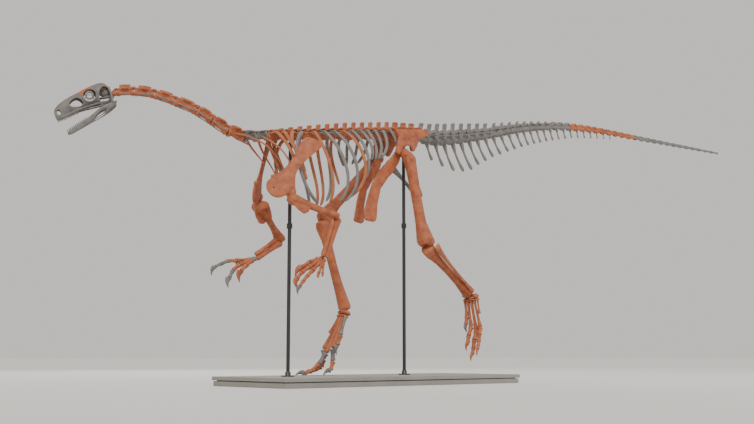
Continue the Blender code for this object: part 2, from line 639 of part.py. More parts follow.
def arm(side_index, finish):
    """Shoulder blade, upper arm, forearm, wrist and hand of one side."""
    name, side = SIDES[side_index]
    mirror = Vector((1.0, side, 1.0))
    socket, blade_top, coracoid = GLENOID * mirror, BLADE_TOP[side_index], CORACOID_FRONT * mirror
    bone("scapulocoracoid_" + name, [slab(socket, blade_top - socket, socket - coracoid, SHOULDER_SECTIONS)], finish)
    elbow, wrist = ELBOW[side_index], WRIST[side_index]
    drop = socket + Vector((0.004, side * 0.004, -0.018))
    upper, fore = elbow - drop, wrist - elbow
    out = Vector((0.0, side, 0.0))
    bone("humerus_" + name, [shaft(drop, elbow, HUMERUS_FACE[side_index], HUMERUS, after=fore)], finish)
    forward = direction(0.0, HAND_HEADING[side_index])
    spread = outward(forward, side)
    slope = math.radians(HAND_SLOPE[side_index])
    hand = forward * math.cos(slope) - Vector((0.0, 0.0, math.sin(slope)))
    bone("ulna_" + name, [shaft(elbow, wrist, out, ULNA, 6, before=upper, after=hand)], finish)
    bone("radius_" + name, [shaft(elbow, wrist, out, RADIUS, 6, after=hand)], finish)
    row = (spread - Vector((0.0, 0.0, HAND_ROLL[side_index]))).normalized()
    palm = wrist + hand * CARPUS_LENGTH
    bone("wrist_" + name, [shaft(wrist, palm, row, CARPUS, 6, before=fore)], finish)
    for place, (bones, droops) in enumerate(zip(HAND_BONES, HAND_DROOP[side_index])):
        start = palm + hand * (1.5 * HAND_RADIUS) + row * ((place - 2) * HAND_SPACING)
        bone("hand_%s_digit_%d" % (name, place + 1),
             [digit(start, (forward + spread * ((place - 2) * 0.08)).normalized(), bones, droops,
                    HAND_RADIUS * (1.0, 0.9, 0.85, 0.65, 0.6)[place], claw=place < 3)], finish)


# ------------------------------------------------------ pelvis and legs ----
# Hip blade outline: X and Z from the hip joint, seen from the side.
ILIUM_OUTLINE = (
    (-0.052, 0.118), (-0.046, 0.128), (0.060, 0.148), (0.165, 0.162), (0.186, 0.134), (0.150, 0.112),
    (0.092, 0.082), (0.070, 0.052), (0.060, 0.028), (0.030, 0.036), (0.006, 0.046), (-0.026, 0.034),
    (-0.052, -0.004), (-0.076, -0.008), (-0.062, 0.040), (-0.032, 0.082),
)
ILIUM_HALF = 0.008
ILIUM_Y = 0.096
PUBIS_PATH = (                     # from the hip down to the foot of the pubis
    Vector((0.078, 0.060, 1.172)), Vector((0.044, 0.057, 1.132)), Vector((0.004, 0.054, 1.086)),
    Vector((-0.036, 0.050, 1.016)), Vector((-0.058, 0.046, 0.926)), Vector((-0.068, 0.044, 0.850)),
    Vector((-0.070, 0.044, 0.826)),
)
PUBIS = (                          # half width and half thickness along that path
    (0.030, 0.009), (0.042, 0.008), (0.044, 0.008), (0.034, 0.008), (0.034, 0.008), (0.040, 0.011), (0.030, 0.010),
)
PUBIS_FACE = Vector((0.97, 0.20, 0.0))
ISCHIUM = (
    (0.0, -0.024, 0.020, 0.011), (0.040, -0.034, 0.016, 0.008), (0.085, -0.018, 0.012, 0.008),
    (0.180, -0.010, 0.010, 0.008), (0.228, -0.013, 0.013, 0.010), (0.246, -0.008, 0.008, 0.007),
)
ISCHIUM_TOP = Vector((0.166, 0.082, 1.190))
ISCHIUM_END = (Vector((0.302, 0.040, 0.994)), Vector((0.300, 0.040, 1.042)))
FEMUR = (
    (-0.045, 0.020, 0.020, -0.010, 0.0), (0.000, 0.036, 0.030, 0.004, 0.0), (0.060, 0.042, 0.032, 0.020, 0.004),
    (0.140, 0.034, 0.031, 0.020, 0.005), (0.300, 0.028, 0.030, 0.014, 0.004), (0.400, 0.028, 0.038, 0.010, 0.012),
    (0.500, 0.027, 0.029, 0.006, 0.002), (0.740, 0.030, 0.030, 0.0, 0.0), (0.880, 0.042, 0.038, 0.0, 0.002),
    (0.945, 0.046, 0.043, 0.0, 0.004), (1.0, 0.036, 0.035, 0.0, 0.004),
)
TIBIA = (
    (0.0, 0.034, 0.032, -0.004, 0.004), (0.060, 0.036, 0.036, -0.004, 0.002), (0.160, 0.026, 0.030, -0.004, 0.0),
    (0.400, 0.020, 0.022, -0.003, 0.0), (0.750, 0.020, 0.021, -0.003, 0.0), (0.930, 0.028, 0.026, -0.004, 0.0),
    (1.0, 0.026, 0.024, -0.004, 0.0),
)
FIBULA = (
    (0.045, 0.008, 0.024, 0.047, 0.020), (0.110, 0.009, 0.020, 0.042, 0.018), (0.300, 0.007, 0.010, 0.036, 0.012),
    (0.800, 0.007, 0.009, 0.032, 0.004), (0.940, 0.009, 0.015, 0.035, 0.004), (0.965, 0.008, 0.013, 0.035, 0.004),
)
ANKLE_LENGTH = 0.034
ANKLE_BLOCK = (
    (0.0, 0.030, 0.024, 0.006, 0.0), (0.45, 0.046, 0.030, 0.006, 0.0), (0.75, 0.045, 0.024, 0.004, 0.0),
    (1.0, 0.046, 0.020, 0.004, 0.0),
)
FOOT_BONES = (
    (0.112, 0.056, 0.048), (0.190, 0.064, 0.048, 0.052), (0.218, 0.068, 0.052, 0.042, 0.050),
    (0.196, 0.052, 0.040, 0.034, 0.028, 0.044), (0.098,),
)
FOOT_ROOT_CLEARANCE = 0.0060
FOOT_ROOT_SPACING = 0.0195
FOOT_SPREAD = (0.043, 0.055)
FOOT_RADIUS = (0.0120, 0.0135, 0.0145, 0.0125, 0.0095)
TOE_FAN = (0.13, 0.20)
TIP_CLEARANCE = 0.42               # height of the standing toes' tips, in toe radii


def settle(bones, droops, drop):
    """Scale the slopes of a toe's bones until the toe comes down by a height."""
    low, high = 0.0, 2.0
    for _ in range(40):
        scale = 0.5 * (low + high)
        fall = sum(length * math.sin(math.radians(slope * scale)) for length, slope in zip(bones, droops))
        low, high = (scale, high) if fall < drop else (low, scale)
    return [slope * scale for slope in droops]


def leg(side_index, finish):
    """Thigh, shin, ankle and foot of one side."""
    name, side = SIDES[side_index]
    out = Vector((0.0, side, 0.0))
    hip = HIP * Vector((1.0, side, 1.0))
    knee, ankle, foot = KNEE[side_index], ANKLE[side_index], FOOT_JOINT[side_index]
    thigh, shin, instep = knee - hip, ankle - knee, foot - ankle
    bone("femur_" + name, [shaft(hip, knee, out, FEMUR, after=shin)], finish)
    bone("tibia_" + name, [shaft(knee, ankle, out, TIBIA, before=thigh, after=instep)], finish)
    bone("fibula_" + name, [shaft(knee, ankle, out, FIBULA, 6)], finish)
    forward = direction(0.0, FOOT_HEADING[side_index])
    spread = outward(forward, side)
    roots = ankle + instep.normalized() * ANKLE_LENGTH
    bone("ankle_" + name, [shaft(ankle, roots, spread, ANKLE_BLOCK, before=shin)], finish)
    instep_slope = math.degrees(math.asin(-instep.normalized().z))
    for place, bones in enumerate(FOOT_BONES):
        start = roots + instep.normalized() * FOOT_ROOT_CLEARANCE + spread * ((place - 1.9) * FOOT_ROOT_SPACING)
        reach = bones[0] / FOOT_BONES[2][0]
        end = roots + (foot - roots) * reach + spread * ((place - 2) * FOOT_SPREAD[side_index] * (0.35 + 0.65 * reach))
        shell = foot_digit(place, start, end, (forward + spread * ((place - 2) * TOE_FAN[side_index])).normalized(), side_index,
                           instep_slope)
        bone("foot_%s_digit_%d" % (name, place + 1), [shell], finish)


def foot_digit(place, start, end, forward, side_index, instep_slope):
    """A metatarsal with its toe."""
    radius = FOOT_RADIUS[place]
    bones = FOOT_BONES[place][1:]
    droops = list(TOE_DROOP[side_index][:len(bones)])
    if side_index == 1 and place in (1, 2, 3):
        droops = settle(bones, droops, end.z - BASE_TOP - TIP_CLEARANCE * radius)
    if place == 0:
        droops = [instep_slope, instep_slope + 14.0]
    path = [start, start.lerp(end, 0.25), start.lerp(end, 0.7), end]
    radii = [0.0088, 0.66 * radius, 0.64 * radius, 1.05 * radius]
    for step, (length, droop) in enumerate(zip(bones, droops)):
        slope = math.radians(droop)
        span = (forward * math.cos(slope) - Vector((0.0, 0.0, math.sin(slope)))) * length
        size = radius * (1.0 - 0.09 * step)
        tip = step == len(bones) - 1
        path.extend((path[-1] + span * 0.5, path[-1] + span))
        radii.extend((size * (0.80 if tip else 0.62), size * (0.22 if tip else 0.90)))
    if not bones:
        radii[-1] = 0.5 * radius
    return tube(path, radii, 5, forward.cross(Vector((0.0, 0.0, 1.0))))


def pelvis(run, before, after, finish):
    """Sacrum, and the hip blade, pubis and ischium of each side."""
    bone("sacrum", [column(run, before, after)], finish)
    for name, side in SIDES:
        hip = HIP * Vector((1.0, side, 1.0))
        rings = []
        for reach in (ILIUM_Y - ILIUM_HALF, ILIUM_Y + ILIUM_HALF):
            rings.append([Vector((hip.x + ahead, side * reach, hip.z + height)) for ahead, height in ILIUM_OUTLINE])
        bone("ilium_" + name, [loft(rings)], finish)
        mirror = Vector((1.0, side, 1.0))
        bone("pubis_" + name, [strap([point * mirror for point in PUBIS_PATH], PUBIS_FACE * mirror, PUBIS)], finish)
        top, end = ISCHIUM_TOP * mirror, ISCHIUM_END[max(side, 0)] * mirror
        bone("ischium_" + name, [slab(top, end - top, Vector((1.0, -0.35 * side, 0.0)), ISCHIUM)], finish)


# ---------------------------------------------------------------- stand ----
def stand(lengths, steel, board):
    """Flat base, and two upright rods that hold the back bone."""
    bpy.ops.mesh.primitive_cube_add(size=1.0, location=(0.0, 0.0, 0.5 * BASE_TOP))
    base = bpy.context.object
    base.name = "stand_base"
    base.data.name = "stand_base"
    for vertex in base.data.vertices:
        vertex.co = Vector(vertex.co) * Vector(BASE_SIZE)
    edge = base.modifiers.new("Eased edge", "BEVEL")
    edge.width = BASE_EDGE
    edge.segments = 1
    for group in list(base.users_collection):
        group.objects.unlink(base)
    PARTS.objects.link(base)
    base.data.materials.append(board)
    column_bones = lengths["back"] + lengths["sacrum"]
    for name, place in (("front", FRONT_ROD_X), ("rear", REAR_ROD_X)):
        carried = min(column_bones, key=lambda one: abs(0.5 * (one.front.x + one.rear.x) - place))
        middle = carried.front.lerp(carried.rear, 0.5)
        top = middle.z - carried.radius - GAP * 2.0
        foot = BASE_TOP + GAP
        heights = (foot, foot + ROD_FLANGE_HEIGHT, foot + ROD_FLANGE_HEIGHT, top - 1.6 * ROD_SADDLE_HEIGHT,
                   top - ROD_SADDLE_HEIGHT, top)
        radii = (ROD_FLANGE_RADIUS, ROD_FLANGE_RADIUS, ROD_RADIUS, ROD_RADIUS, ROD_SADDLE_HALF, ROD_SADDLE_HALF)
        rings = [ellipse_ring(Vector((middle.x, 0.0, height)), Vector((1.0, 0.0, 0.0)), Vector((0.0, 1.0, 0.0)),
                              size, size, 8) for height, size in zip(heights, radii)]
        bone("stand_rod_" + name, [loft(rings)], steel)


clear_scene()
PARTS = collection("mounted_dinosaur_skeleton")
GUIDES = collection("cutters_and_growths", hidden=True)
rust = material("fossil_bone", BONE_RUST, 0.62)
grey = material("restored_bone", BONE_GREY, 0.66)
steel = material("black_steel", STEEL_DARK, 0.42, 1.0)
board = material("painted_board", BOARD_PALE, 0.70)

LENGTHS = back_bone()
head(LENGTHS["neck"][0], grey)
neck(LENGTHS["neck"], LENGTHS["back"][0], rust)
trunk(LENGTHS["back"], LENGTHS["neck"][-1], LENGTHS["sacrum"][0], rust)
pelvis(LENGTHS["sacrum"], LENGTHS["back"][-1], LENGTHS["tail"][0], rust)
tail(LENGTHS["tail"], LENGTHS["sacrum"][-1], grey)
for index in range(len(SIDES)):
    arm(index, rust)
    leg(index, rust)
stand(LENGTHS, steel, board)
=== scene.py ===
"""Dressed model of a mounted dinosaur skeleton in mid stride.

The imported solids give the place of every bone. Each sub-assembly below models
its bones in full and lays them where those solids are. Metres, +Z up, head
towards -X, the animal's left side towards -Y.
"""
import logging
import math
from dataclasses import dataclass, field
from enum import Enum

import bmesh
import bpy
from mathutils import Matrix, Vector


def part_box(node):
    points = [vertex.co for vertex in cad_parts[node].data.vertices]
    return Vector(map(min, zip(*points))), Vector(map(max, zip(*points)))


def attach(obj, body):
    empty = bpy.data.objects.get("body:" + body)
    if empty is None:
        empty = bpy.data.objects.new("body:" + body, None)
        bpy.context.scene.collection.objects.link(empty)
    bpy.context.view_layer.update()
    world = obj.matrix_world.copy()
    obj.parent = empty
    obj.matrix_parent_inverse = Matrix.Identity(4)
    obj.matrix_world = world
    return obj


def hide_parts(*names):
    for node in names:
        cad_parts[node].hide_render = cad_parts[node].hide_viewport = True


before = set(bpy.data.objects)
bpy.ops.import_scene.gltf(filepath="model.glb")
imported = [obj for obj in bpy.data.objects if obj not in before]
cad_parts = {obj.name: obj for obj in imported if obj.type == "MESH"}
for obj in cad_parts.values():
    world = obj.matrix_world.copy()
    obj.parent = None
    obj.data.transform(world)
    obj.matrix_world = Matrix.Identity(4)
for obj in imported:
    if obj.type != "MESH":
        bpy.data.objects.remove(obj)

LOG = logging.getLogger("skeleton")
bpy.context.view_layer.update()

ORIGIN = (0.0, 0.0, 0.0)
X_AXIS = Vector((1.0, 0.0, 0.0))
Y_AXIS = Vector((0.0, 1.0, 0.0))
Z_AXIS = Vector((0.0, 0.0, 1.0))

Shape = bpy.types.Object
Pair = tuple[float, float]
Point = tuple[float, float, float]
Slice = tuple[float, float, float, float]  # place, two edges and half thickness
Station = tuple[float, float, float, float, float]  # place, two half sizes and two shifts
Table = tuple[Pair, ...]  # (place, value) pairs
Rows = list[tuple[float, ...]]  # one ring's numbers in each row
Outline = tuple[Pair, ...]  # (ahead, up) corners of a closed loop


class Side(Enum):
    """The animal's two sides: name in the node names and sign along Y."""

    LEFT = ("left", -1)
    RIGHT = ("right", 1)

    @property
    def word(self) -> str:
        """The side as it stands in node names."""
        return self.value[0]

    @property
    def sign(self) -> int:
        """-1 on the left, 1 on the right."""
        return self.value[1]

    @property
    def index(self) -> int:
        """Place of this side in a (left, right) pair."""
        return 0 if self is Side.LEFT else 1


class Bone(Enum):
    """What a bone is made of: the found fossil, or the part made up for it."""

    FOSSIL = "fossil_bone"
    RESTORED = "restored_bone"


# ----------------------------------------------------------- finishes ------
# Socket numbers of a colour Mix node, whose socket names repeat.
MIX_SHARE, MIX_BASE, MIX_OVER, MIX_RESULT = 0, 6, 7, 2


def linear(code: str) -> tuple[float, float, float, float]:
    """Turn an sRGB hex colour into linear values.

    Args:
        code: Six hex digits, with or without a leading hash.

    Returns:
        Linear red, green, blue and an alpha of 1.
    """
    digits = code.lstrip("#")
    channels = []
    for start in (0, 2, 4):
        value = int(digits[start:start + 2], 16) / 255.0
        channels.append(value / 12.92 if value <= 0.04045 else ((value + 0.055) / 1.055) ** 2.4)
    return channels[0], channels[1], channels[2], 1.0


def wire(tree: bpy.types.NodeTree, node: bpy.types.Node, links: dict) -> None:
    """Feed a node's sockets, given by name or number, from output sockets."""
    for name, output in links.items():
        tree.links.new(output, node.inputs[name])


def add_node(tree: bpy.types.NodeTree, kind: str, settings: dict | None = None,
             values: dict | None = None, links: dict | None = None) -> bpy.types.Node:
    """Add one shader node.

    Args:
        tree: The material's node tree.
        kind: Blender's name for the node type.
        settings: Attributes of the node.
        values: Socket name or number to its fixed value.
        links: Socket name or number to the output socket that feeds it.

    Returns:
        The new node.
    """
    made = tree.nodes.new(kind)
    for name, value in (settings or {}).items():
        setattr(made, name, value)
    for name, value in (values or {}).items():
        made.inputs[name].default_value = value
    wire(tree, made, links or {})
    return made


def ramp(tree: bpy.types.NodeTree, source: bpy.types.NodeSocket,
         stops: tuple[tuple[float, str], ...]) -> bpy.types.NodeSocket:
    """Colour a value by a ramp of hex colours and return the colour output."""
    made = add_node(tree, "ShaderNodeValToRGB", links={"Fac": source})
    elements = made.color_ramp.elements
    while len(elements) < len(stops):
        elements.new(0.5)
    for element, (place, code) in zip(elements, stops):
        element.position = place
        element.color = linear(code)
    return made.outputs["Color"]


def new_material(name: str) -> tuple[bpy.types.Material, bpy.types.NodeTree, bpy.types.Node]:
    """A fresh node material, its tree and its Principled BSDF."""
    made = bpy.data.materials.new(name)
    made.use_nodes = True
    tree = made.node_tree
    return made, tree, tree.nodes["Principled BSDF"]


def object_place(tree: bpy.types.NodeTree) -> bpy.types.NodeSocket:
    """The place of a surface point in its object's own coordinates."""
    return add_node(tree, "ShaderNodeTexCoord").outputs["Object"]


def noise(tree: bpy.types.NodeTree, place: bpy.types.NodeSocket, size: float, detail: float,
          roughness: float = 0.5) -> bpy.types.Node:
    """Cloudy noise whose blotches are about one size across, in metres."""
    return add_node(tree, "ShaderNodeTexNoise", links={"Vector": place},
                    values={"Scale": 1.0 / size, "Detail": detail, "Roughness": roughness})


def remap(tree: bpy.types.NodeTree, source: bpy.types.NodeSocket, low: float, high: float,
          start: float = 0.0, end: float = 1.0) -> bpy.types.NodeSocket:
    """Turn a value between start and end into one between low and high."""
    made = add_node(tree, "ShaderNodeMapRange", links={"Value": source},
                    values={"From Min": start, "From Max": end, "To Min": low, "To Max": high})
    return made.outputs["Result"]


def tint(tree: bpy.types.NodeTree, base: bpy.types.NodeSocket, code: str,
         share: bpy.types.NodeSocket) -> bpy.types.NodeSocket:
    """Mix a hex colour over a base colour by a share."""
    made = add_node(tree, "ShaderNodeMix", settings={"data_type": "RGBA"},
                    values={MIX_OVER: linear(code)}, links={MIX_SHARE: share, MIX_BASE: base})
    return made.outputs[MIX_RESULT]


def relief(tree: bpy.types.NodeTree, height: bpy.types.NodeSocket, strength: float, depth: float,
           below: bpy.types.NodeSocket | None = None) -> bpy.types.NodeSocket:
    """A fine surface relief, laid over another one where that is given."""
    links = {"Height": height} | ({"Normal": below} if below else {})
    made = add_node(tree, "ShaderNodeBump", values={"Strength": strength, "Distance": depth}, links=links)
    return made.outputs["Normal"]


@dataclass(frozen=True)
class BoneFinish:
    """Fossil bone or the cast that fills in for it.

    Mineralised bone: matt, blotched over 20 to 60 mm, with hairline cracks
    some 12 mm apart, and paler where handling has rubbed the edges. Hollows
    are darkened towards the deep colour as painted shade.
    """

    name: str
    deep: str
    body: str
    pale: str
    edge: str
    blotch: float = 0.035
    grain: float = 0.0035
    crack: float = 0.014
    crack_depth: float = 0.22
    crack_bend: float = 0.02
    speckle: float = 0.07
    worn: float = 0.4  # how far rubbed edges go towards the edge colour
    painted_hollow_shade: float = 0.32  # painted shade: how far hollows go towards the deep colour
    roughness: float = 0.62

    def build(self) -> bpy.types.Material:
        """Make the material and return it."""
        made, tree, shader = new_material(self.name)
        place = object_place(tree)
        blotches = noise(tree, place, self.blotch, 5.0, 0.62)
        grain = noise(tree, place, self.grain, 4.0, 0.7).outputs["Fac"]
        colour = ramp(tree, blotches.outputs["Fac"],
                      ((0.28, self.deep), (0.52, self.body), (0.78, self.pale)))
        bent = add_node(tree, "ShaderNodeVectorMath", settings={"operation": "MULTIPLY_ADD"},
                        values={1: (self.crack_bend,) * 3}, links={0: blotches.outputs["Color"], 2: place})
        cracks = add_node(tree, "ShaderNodeTexVoronoi", settings={"feature": "DISTANCE_TO_EDGE"},
                          values={"Scale": 1.0 / self.crack}, links={"Vector": bent.outputs["Vector"]})
        apart = cracks.outputs["Distance"]
        bulge = add_node(tree, "ShaderNodeNewGeometry").outputs["Pointiness"]
        colour = tint(tree, colour, self.deep, remap(tree, apart, self.crack_depth, 0.0, 0.0, 0.05))
        colour = tint(tree, colour, self.pale, remap(tree, grain, 0.0, self.speckle, 0.35, 0.65))
        colour = tint(tree, colour, self.edge, remap(tree, bulge, 0.0, self.worn, 0.5, 0.6))
        # Painted shade: low pointiness marks hollows, which are darkened towards the deep colour.
        colour = tint(tree, colour, self.deep, remap(tree, bulge, self.painted_hollow_shade, 0.0, 0.38, 0.48))
        pits = relief(tree, grain, 0.18, 0.0012)
        wire(tree, shader, {
            "Base Color": colour,
            "Roughness": remap(tree, blotches.outputs["Fac"], self.roughness - 0.1, self.roughness + 0.14),
            "Normal": relief(tree, apart, 0.25, 0.0014, pits)})
        return made


@dataclass(frozen=True)
class SteelFinish:
    """Round mild-steel bar, sprayed satin black: soft, even highlights."""

    name: str = "black_sprayed_steel"
    colour: str = "#26272A"
    spray: float = 0.0012
    patch: float = 0.06
    roughness: float = 0.36

    def build(self) -> bpy.types.Material:
        """Make the material and return it."""
        made, tree, shader = new_material(self.name)
        place = object_place(tree)
        spray = noise(tree, place, self.spray, 2.0).outputs["Fac"]
        patches = noise(tree, place, self.patch, 3.0).outputs["Fac"]
        shader.inputs["Base Color"].default_value = linear(self.colour)
        wire(tree, shader, {"Roughness": remap(tree, patches, self.roughness - 0.08, self.roughness + 0.12),
                            "Normal": relief(tree, spray, 0.15, 0.0004)})
        return made


@dataclass(frozen=True)
class BoardFinish:
    """Medium-density board with a rolled matt paint: a fine stipple, no grain."""

    name: str = "painted_fibreboard"
    colour: str = "#8E8B85"
    shade: str = "#827F79"
    cloud: float = 0.18
    stipple: float = 0.0025
    roughness: float = 0.72

    def build(self) -> bpy.types.Material:
        """Make the material and return it."""
        made, tree, shader = new_material(self.name)
        place = object_place(tree)
        clouds = noise(tree, place, self.cloud, 4.0).outputs["Fac"]
        roller = noise(tree, place, self.stipple, 3.0).outputs["Fac"]
        shader.inputs["Roughness"].default_value = self.roughness
        wire(tree, shader, {"Base Color": ramp(tree, clouds, ((0.3, self.shade), (0.7, self.colour))),
                            "Normal": relief(tree, roller, 0.3, 0.0006)})
        return made


@dataclass(frozen=True)
class FloorFinish:
    """Seamless studio paper: flat, pale and without gloss."""

    name: str = "studio_paper"
    colour: str = "#D9D8D5"
    roughness: float = 0.9

    def build(self) -> bpy.types.Material:
        """Make the material and return it."""
        made, _, shader = new_material(self.name)
        shader.inputs["Base Color"].default_value = linear(self.colour)
        shader.inputs["Roughness"].default_value = self.roughness
        return made


@dataclass
class Finishes:
    """Every material of the skeleton and its stand, made once."""

    fossil: bpy.types.Material
    restored: bpy.types.Material
    steel: bpy.types.Material
    board: bpy.types.Material
    floor: bpy.types.Material

    @classmethod
    def build(cls) -> "Finishes":
        """Make all the materials."""
        return cls(
            # Iron-stained fossil bone: brick and terracotta blotches.
            fossil=BoneFinish("iron_stained_fossil", "#7A3824", "#A35734", "#B46D44", "#C7875D").build(),
            # Toned resin cast: warm grey, smoother than the fossil.
            restored=BoneFinish("grey_resin_cast", "#524E4C", "#6D6866", "#7F7A77", "#938E8A",
                                crack_depth=0.1, roughness=0.56).build(),
            steel=SteelFinish().build(),
            board=BoardFinish().build(),
            floor=FloorFinish().build(),
        )

    def bone(self, kind: Bone) -> bpy.types.Material:
        """The material of fossil or of restored bone."""
        return self.fossil if kind is Bone.FOSSIL else self.restored


# ------------------------------------------------------------ shaping ------
@dataclass(frozen=True)
class Ring:
    """One outline of a shell drawn upwards: height, half sizes and shift."""

    rise: float
    half_x: float
    half_y: float
    shift_x: float = 0.0
    shift_y: float = 0.0


def blend(table: Table, place: float) -> float:
    """Read a value from (place, value) pairs, straight between the pairs."""
    if place <= table[0][0]:
        return table[0][1]
    for (low, first), (high, last) in zip(table, table[1:]):
        if place <= high:
            return first + (last - first) * (place - low) / (high - low)
    return table[-1][1]


def direction(pitch: float, yaw: float) -> Vector:
    """Unit vector ahead (-X), turned yaw towards +Y and pitch upwards (degrees)."""
    up, turn = math.radians(pitch), math.radians(yaw)
    return Vector((-math.cos(up) * math.cos(turn), math.cos(up) * math.sin(turn), math.sin(up)))


def square_to(along: Vector, hint: Vector) -> tuple[Vector, Vector]:
    """Two unit vectors square to a direction: one near the hint, and the third."""
    along = along.normalized()
    across = (hint - along * hint.dot(along)).normalized()
    return across, along.cross(across)


def seat(origin: Vector, x_axis: Vector, y_axis: Vector, z_axis: Vector) -> Matrix:
    """Matrix that lays a shape's own axes along three directions at a point."""
    made = Matrix((x_axis, y_axis, z_axis)).transposed().to_4x4()
    made.translation = origin
    return made


def clear_selection() -> None:
    """Deselect everything and leave edit mode."""
    if bpy.context.object and bpy.context.object.mode != "OBJECT":
        bpy.ops.object.mode_set(mode="OBJECT")
    bpy.ops.object.select_all(action="DESELECT")


def select_only(shape: Shape) -> None:
    """Select one shape and make it the active one."""
    clear_selection()
    shape.select_set(True)
    bpy.context.view_layer.objects.active = shape


def add_object(name: str, data: bpy.types.ID) -> bpy.types.Object:
    """Put a mesh, a lamp or a camera in the scene as a new object."""
    made = bpy.data.objects.new(name, data)
    bpy.context.scene.collection.objects.link(made)
    return made


def add_mesh(name: str, work: bmesh.types.BMesh) -> Shape:
    """Turn an edited mesh into a new shape with its faces outwards."""
    bmesh.ops.recalc_face_normals(work, faces=work.faces)
    mesh = bpy.data.meshes.new(name)
    work.to_mesh(mesh)
    work.free()
    return add_object(name, mesh)


def size_primitive(scale: Point, place: Point) -> Shape:
    """Scale and place the primitive just added, and stay in edit mode."""
    bpy.ops.object.mode_set(mode="EDIT")
    bpy.ops.mesh.select_all(action="SELECT")
    bpy.ops.transform.resize(value=scale, center_override=ORIGIN)
    bpy.ops.transform.translate(value=place)
    return bpy.context.object


def draw_shell(rows: Rows, sides: int = 12) -> Shape:
    """Draw a closed shell upwards from a filled circle by repeated extrusion.

    Args:
        rows: A ring's numbers for each outline, from the lowest to the highest.
        sides: Corners of each outline.

    Returns:
        The new object, its axis along Z.
    """
    rings = [Ring(*row) for row in rows]
    clear_selection()
    bpy.ops.mesh.primitive_circle_add(vertices=sides, radius=1.0, fill_type="NGON", location=ORIGIN)
    first = rings[0]
    shell = size_primitive((first.half_x, first.half_y, 1.0), (first.shift_x, first.shift_y, first.rise))
    for low, high in zip(rings, rings[1:]):
        step = (high.shift_x - low.shift_x, high.shift_y - low.shift_y, high.rise - low.rise)
        bpy.ops.mesh.extrude_region_move(TRANSFORM_OT_translate={"value": step})
        bpy.ops.transform.resize(value=(high.half_x / low.half_x, high.half_y / low.half_y, 1.0),
                                 center_override=(high.shift_x, high.shift_y, high.rise))
    bpy.ops.mesh.select_all(action="SELECT")
    bpy.ops.mesh.normals_make_consistent(inside=False)
    bpy.ops.object.mode_set(mode="OBJECT")
    return shell


def draw_ball(centre: Point, halves: Point) -> Shape:
    """Draw an egg-shaped swelling with the given half sizes."""
    clear_selection()
    bpy.ops.mesh.primitive_uv_sphere_add(segments=12, ring_count=8, radius=1.0, location=ORIGIN)
    ball = size_primitive(halves, tuple(centre))
    bpy.ops.object.mode_set(mode="OBJECT")
    return ball


def sweep(points: list[Point], halves: list[Pair], hint: Vector, sides: int = 8) -> Shape:
    """Sweep an oval along a curved path, for ribs, chevrons and thin rods.

    Args:
        points: Places along the middle.
        halves: At each point, the half size near the hint and the half size across it.
        hint: Direction that the first half size lies near.
        sides: Corners of the oval.

    Returns:
        The new object, closed at both ends.
    """
    path = [Vector(point) for point in points]
    work = bmesh.new()
    rows = []
    for index, point in enumerate(path):
        along = path[min(index + 1, len(path) - 1)] - path[max(index - 1, 0)]
        near, across = square_to(along, hint)
        row = []
        for step in range(sides):
            angle = 2.0 * math.pi * step / sides
            row.append(work.verts.new(point + near * (halves[index][0] * math.cos(angle))
                                      + across * (halves[index][1] * math.sin(angle))))
        rows.append(row)
    for low, high in zip(rows, rows[1:]):
        for step in range(sides):
            after = (step + 1) % sides
            work.faces.new((low[step], low[after], high[after], high[step]))
    work.faces.new(tuple(reversed(rows[0])))
    work.faces.new(tuple(rows[-1]))
    return add_mesh("swept", work)


def move(shape: Shape, matrix: Matrix) -> Shape:
    """Lay a shape by changing its mesh, and keep its faces outwards."""
    shape.data.transform(matrix)
    if matrix.determinant() < 0.0:
        shape.data.flip_normals()
    return shape


def copy_of(shape: Shape) -> Shape:
    """A copy with its own mesh."""
    twin = shape.copy()
    twin.data = shape.data.copy()
    bpy.context.scene.collection.objects.link(twin)
    return twin


def discard(*shapes: Shape) -> None:
    """Remove shapes that only served to make others."""
    for shape in shapes:
        mesh = shape.data
        bpy.data.objects.remove(shape, do_unlink=True)
        bpy.data.meshes.remove(mesh)


def join(shapes: list[Shape]) -> Shape:
    """Join shapes into the first one."""
    select_only(shapes[0])
    for shape in shapes[1:]:
        shape.select_set(True)
    if len(shapes) > 1:
        bpy.ops.object.join()
    return shapes[0]


def apply_modifier(shape: Shape, kind: str, **settings: object) -> Shape:
    """Add a modifier with its settings and apply it."""
    select_only(shape)
    step = shape.modifiers.new(kind.title(), kind)
    for name, value in settings.items():
        setattr(step, name, value)
    bpy.ops.object.modifier_apply(modifier=step.name)
    return shape


def grow_together(shapes: list[Shape], voxel: float, rounds: int) -> Shape:
    """Merge overlapping shells into one skin and ease its creases.

    Args:
        shapes: The shells. They overlap.
        voxel: Size of the skin's faces in metres.
        rounds: How often the skin is eased.

    Returns:
        One closed shape.
    """
    whole = join(shapes)
    apply_modifier(whole, "REMESH", mode="VOXEL", voxel_size=voxel, use_smooth_shade=True)
    return apply_modifier(whole, "SMOOTH", factor=0.5, iterations=rounds)


def soften(shape: Shape) -> Shape:
    """Round a shape by one subdivision."""
    return apply_modifier(shape, "SUBSURF", levels=1, render_levels=1)


def cut(shape: Shape, cutter: Shape) -> Shape:
    """Take a cutter out of a shape."""
    apply_modifier(shape, "BOOLEAN", operation="DIFFERENCE", solver="EXACT", object=cutter)
    discard(cutter)
    return shape


def dress(shape: Shape, material: bpy.types.Material) -> Shape:
    """Give a shape one material all over."""
    shape.data.materials.clear()
    shape.data.materials.append(material)
    return shape


def hand_in(name: str, shapes: list[Shape], nodes: tuple[str, ...]) -> Shape:
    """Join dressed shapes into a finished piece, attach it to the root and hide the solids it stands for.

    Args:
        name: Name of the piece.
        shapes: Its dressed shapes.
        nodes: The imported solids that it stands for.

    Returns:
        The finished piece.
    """
    piece = join(shapes)
    piece.name = name
    piece.data.name = name
    piece.data.shade_smooth()
    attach(piece, "root")
    if nodes:
        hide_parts(*nodes)
    LOG.info("%s: %d faces", name, len(piece.data.polygons))
    return piece


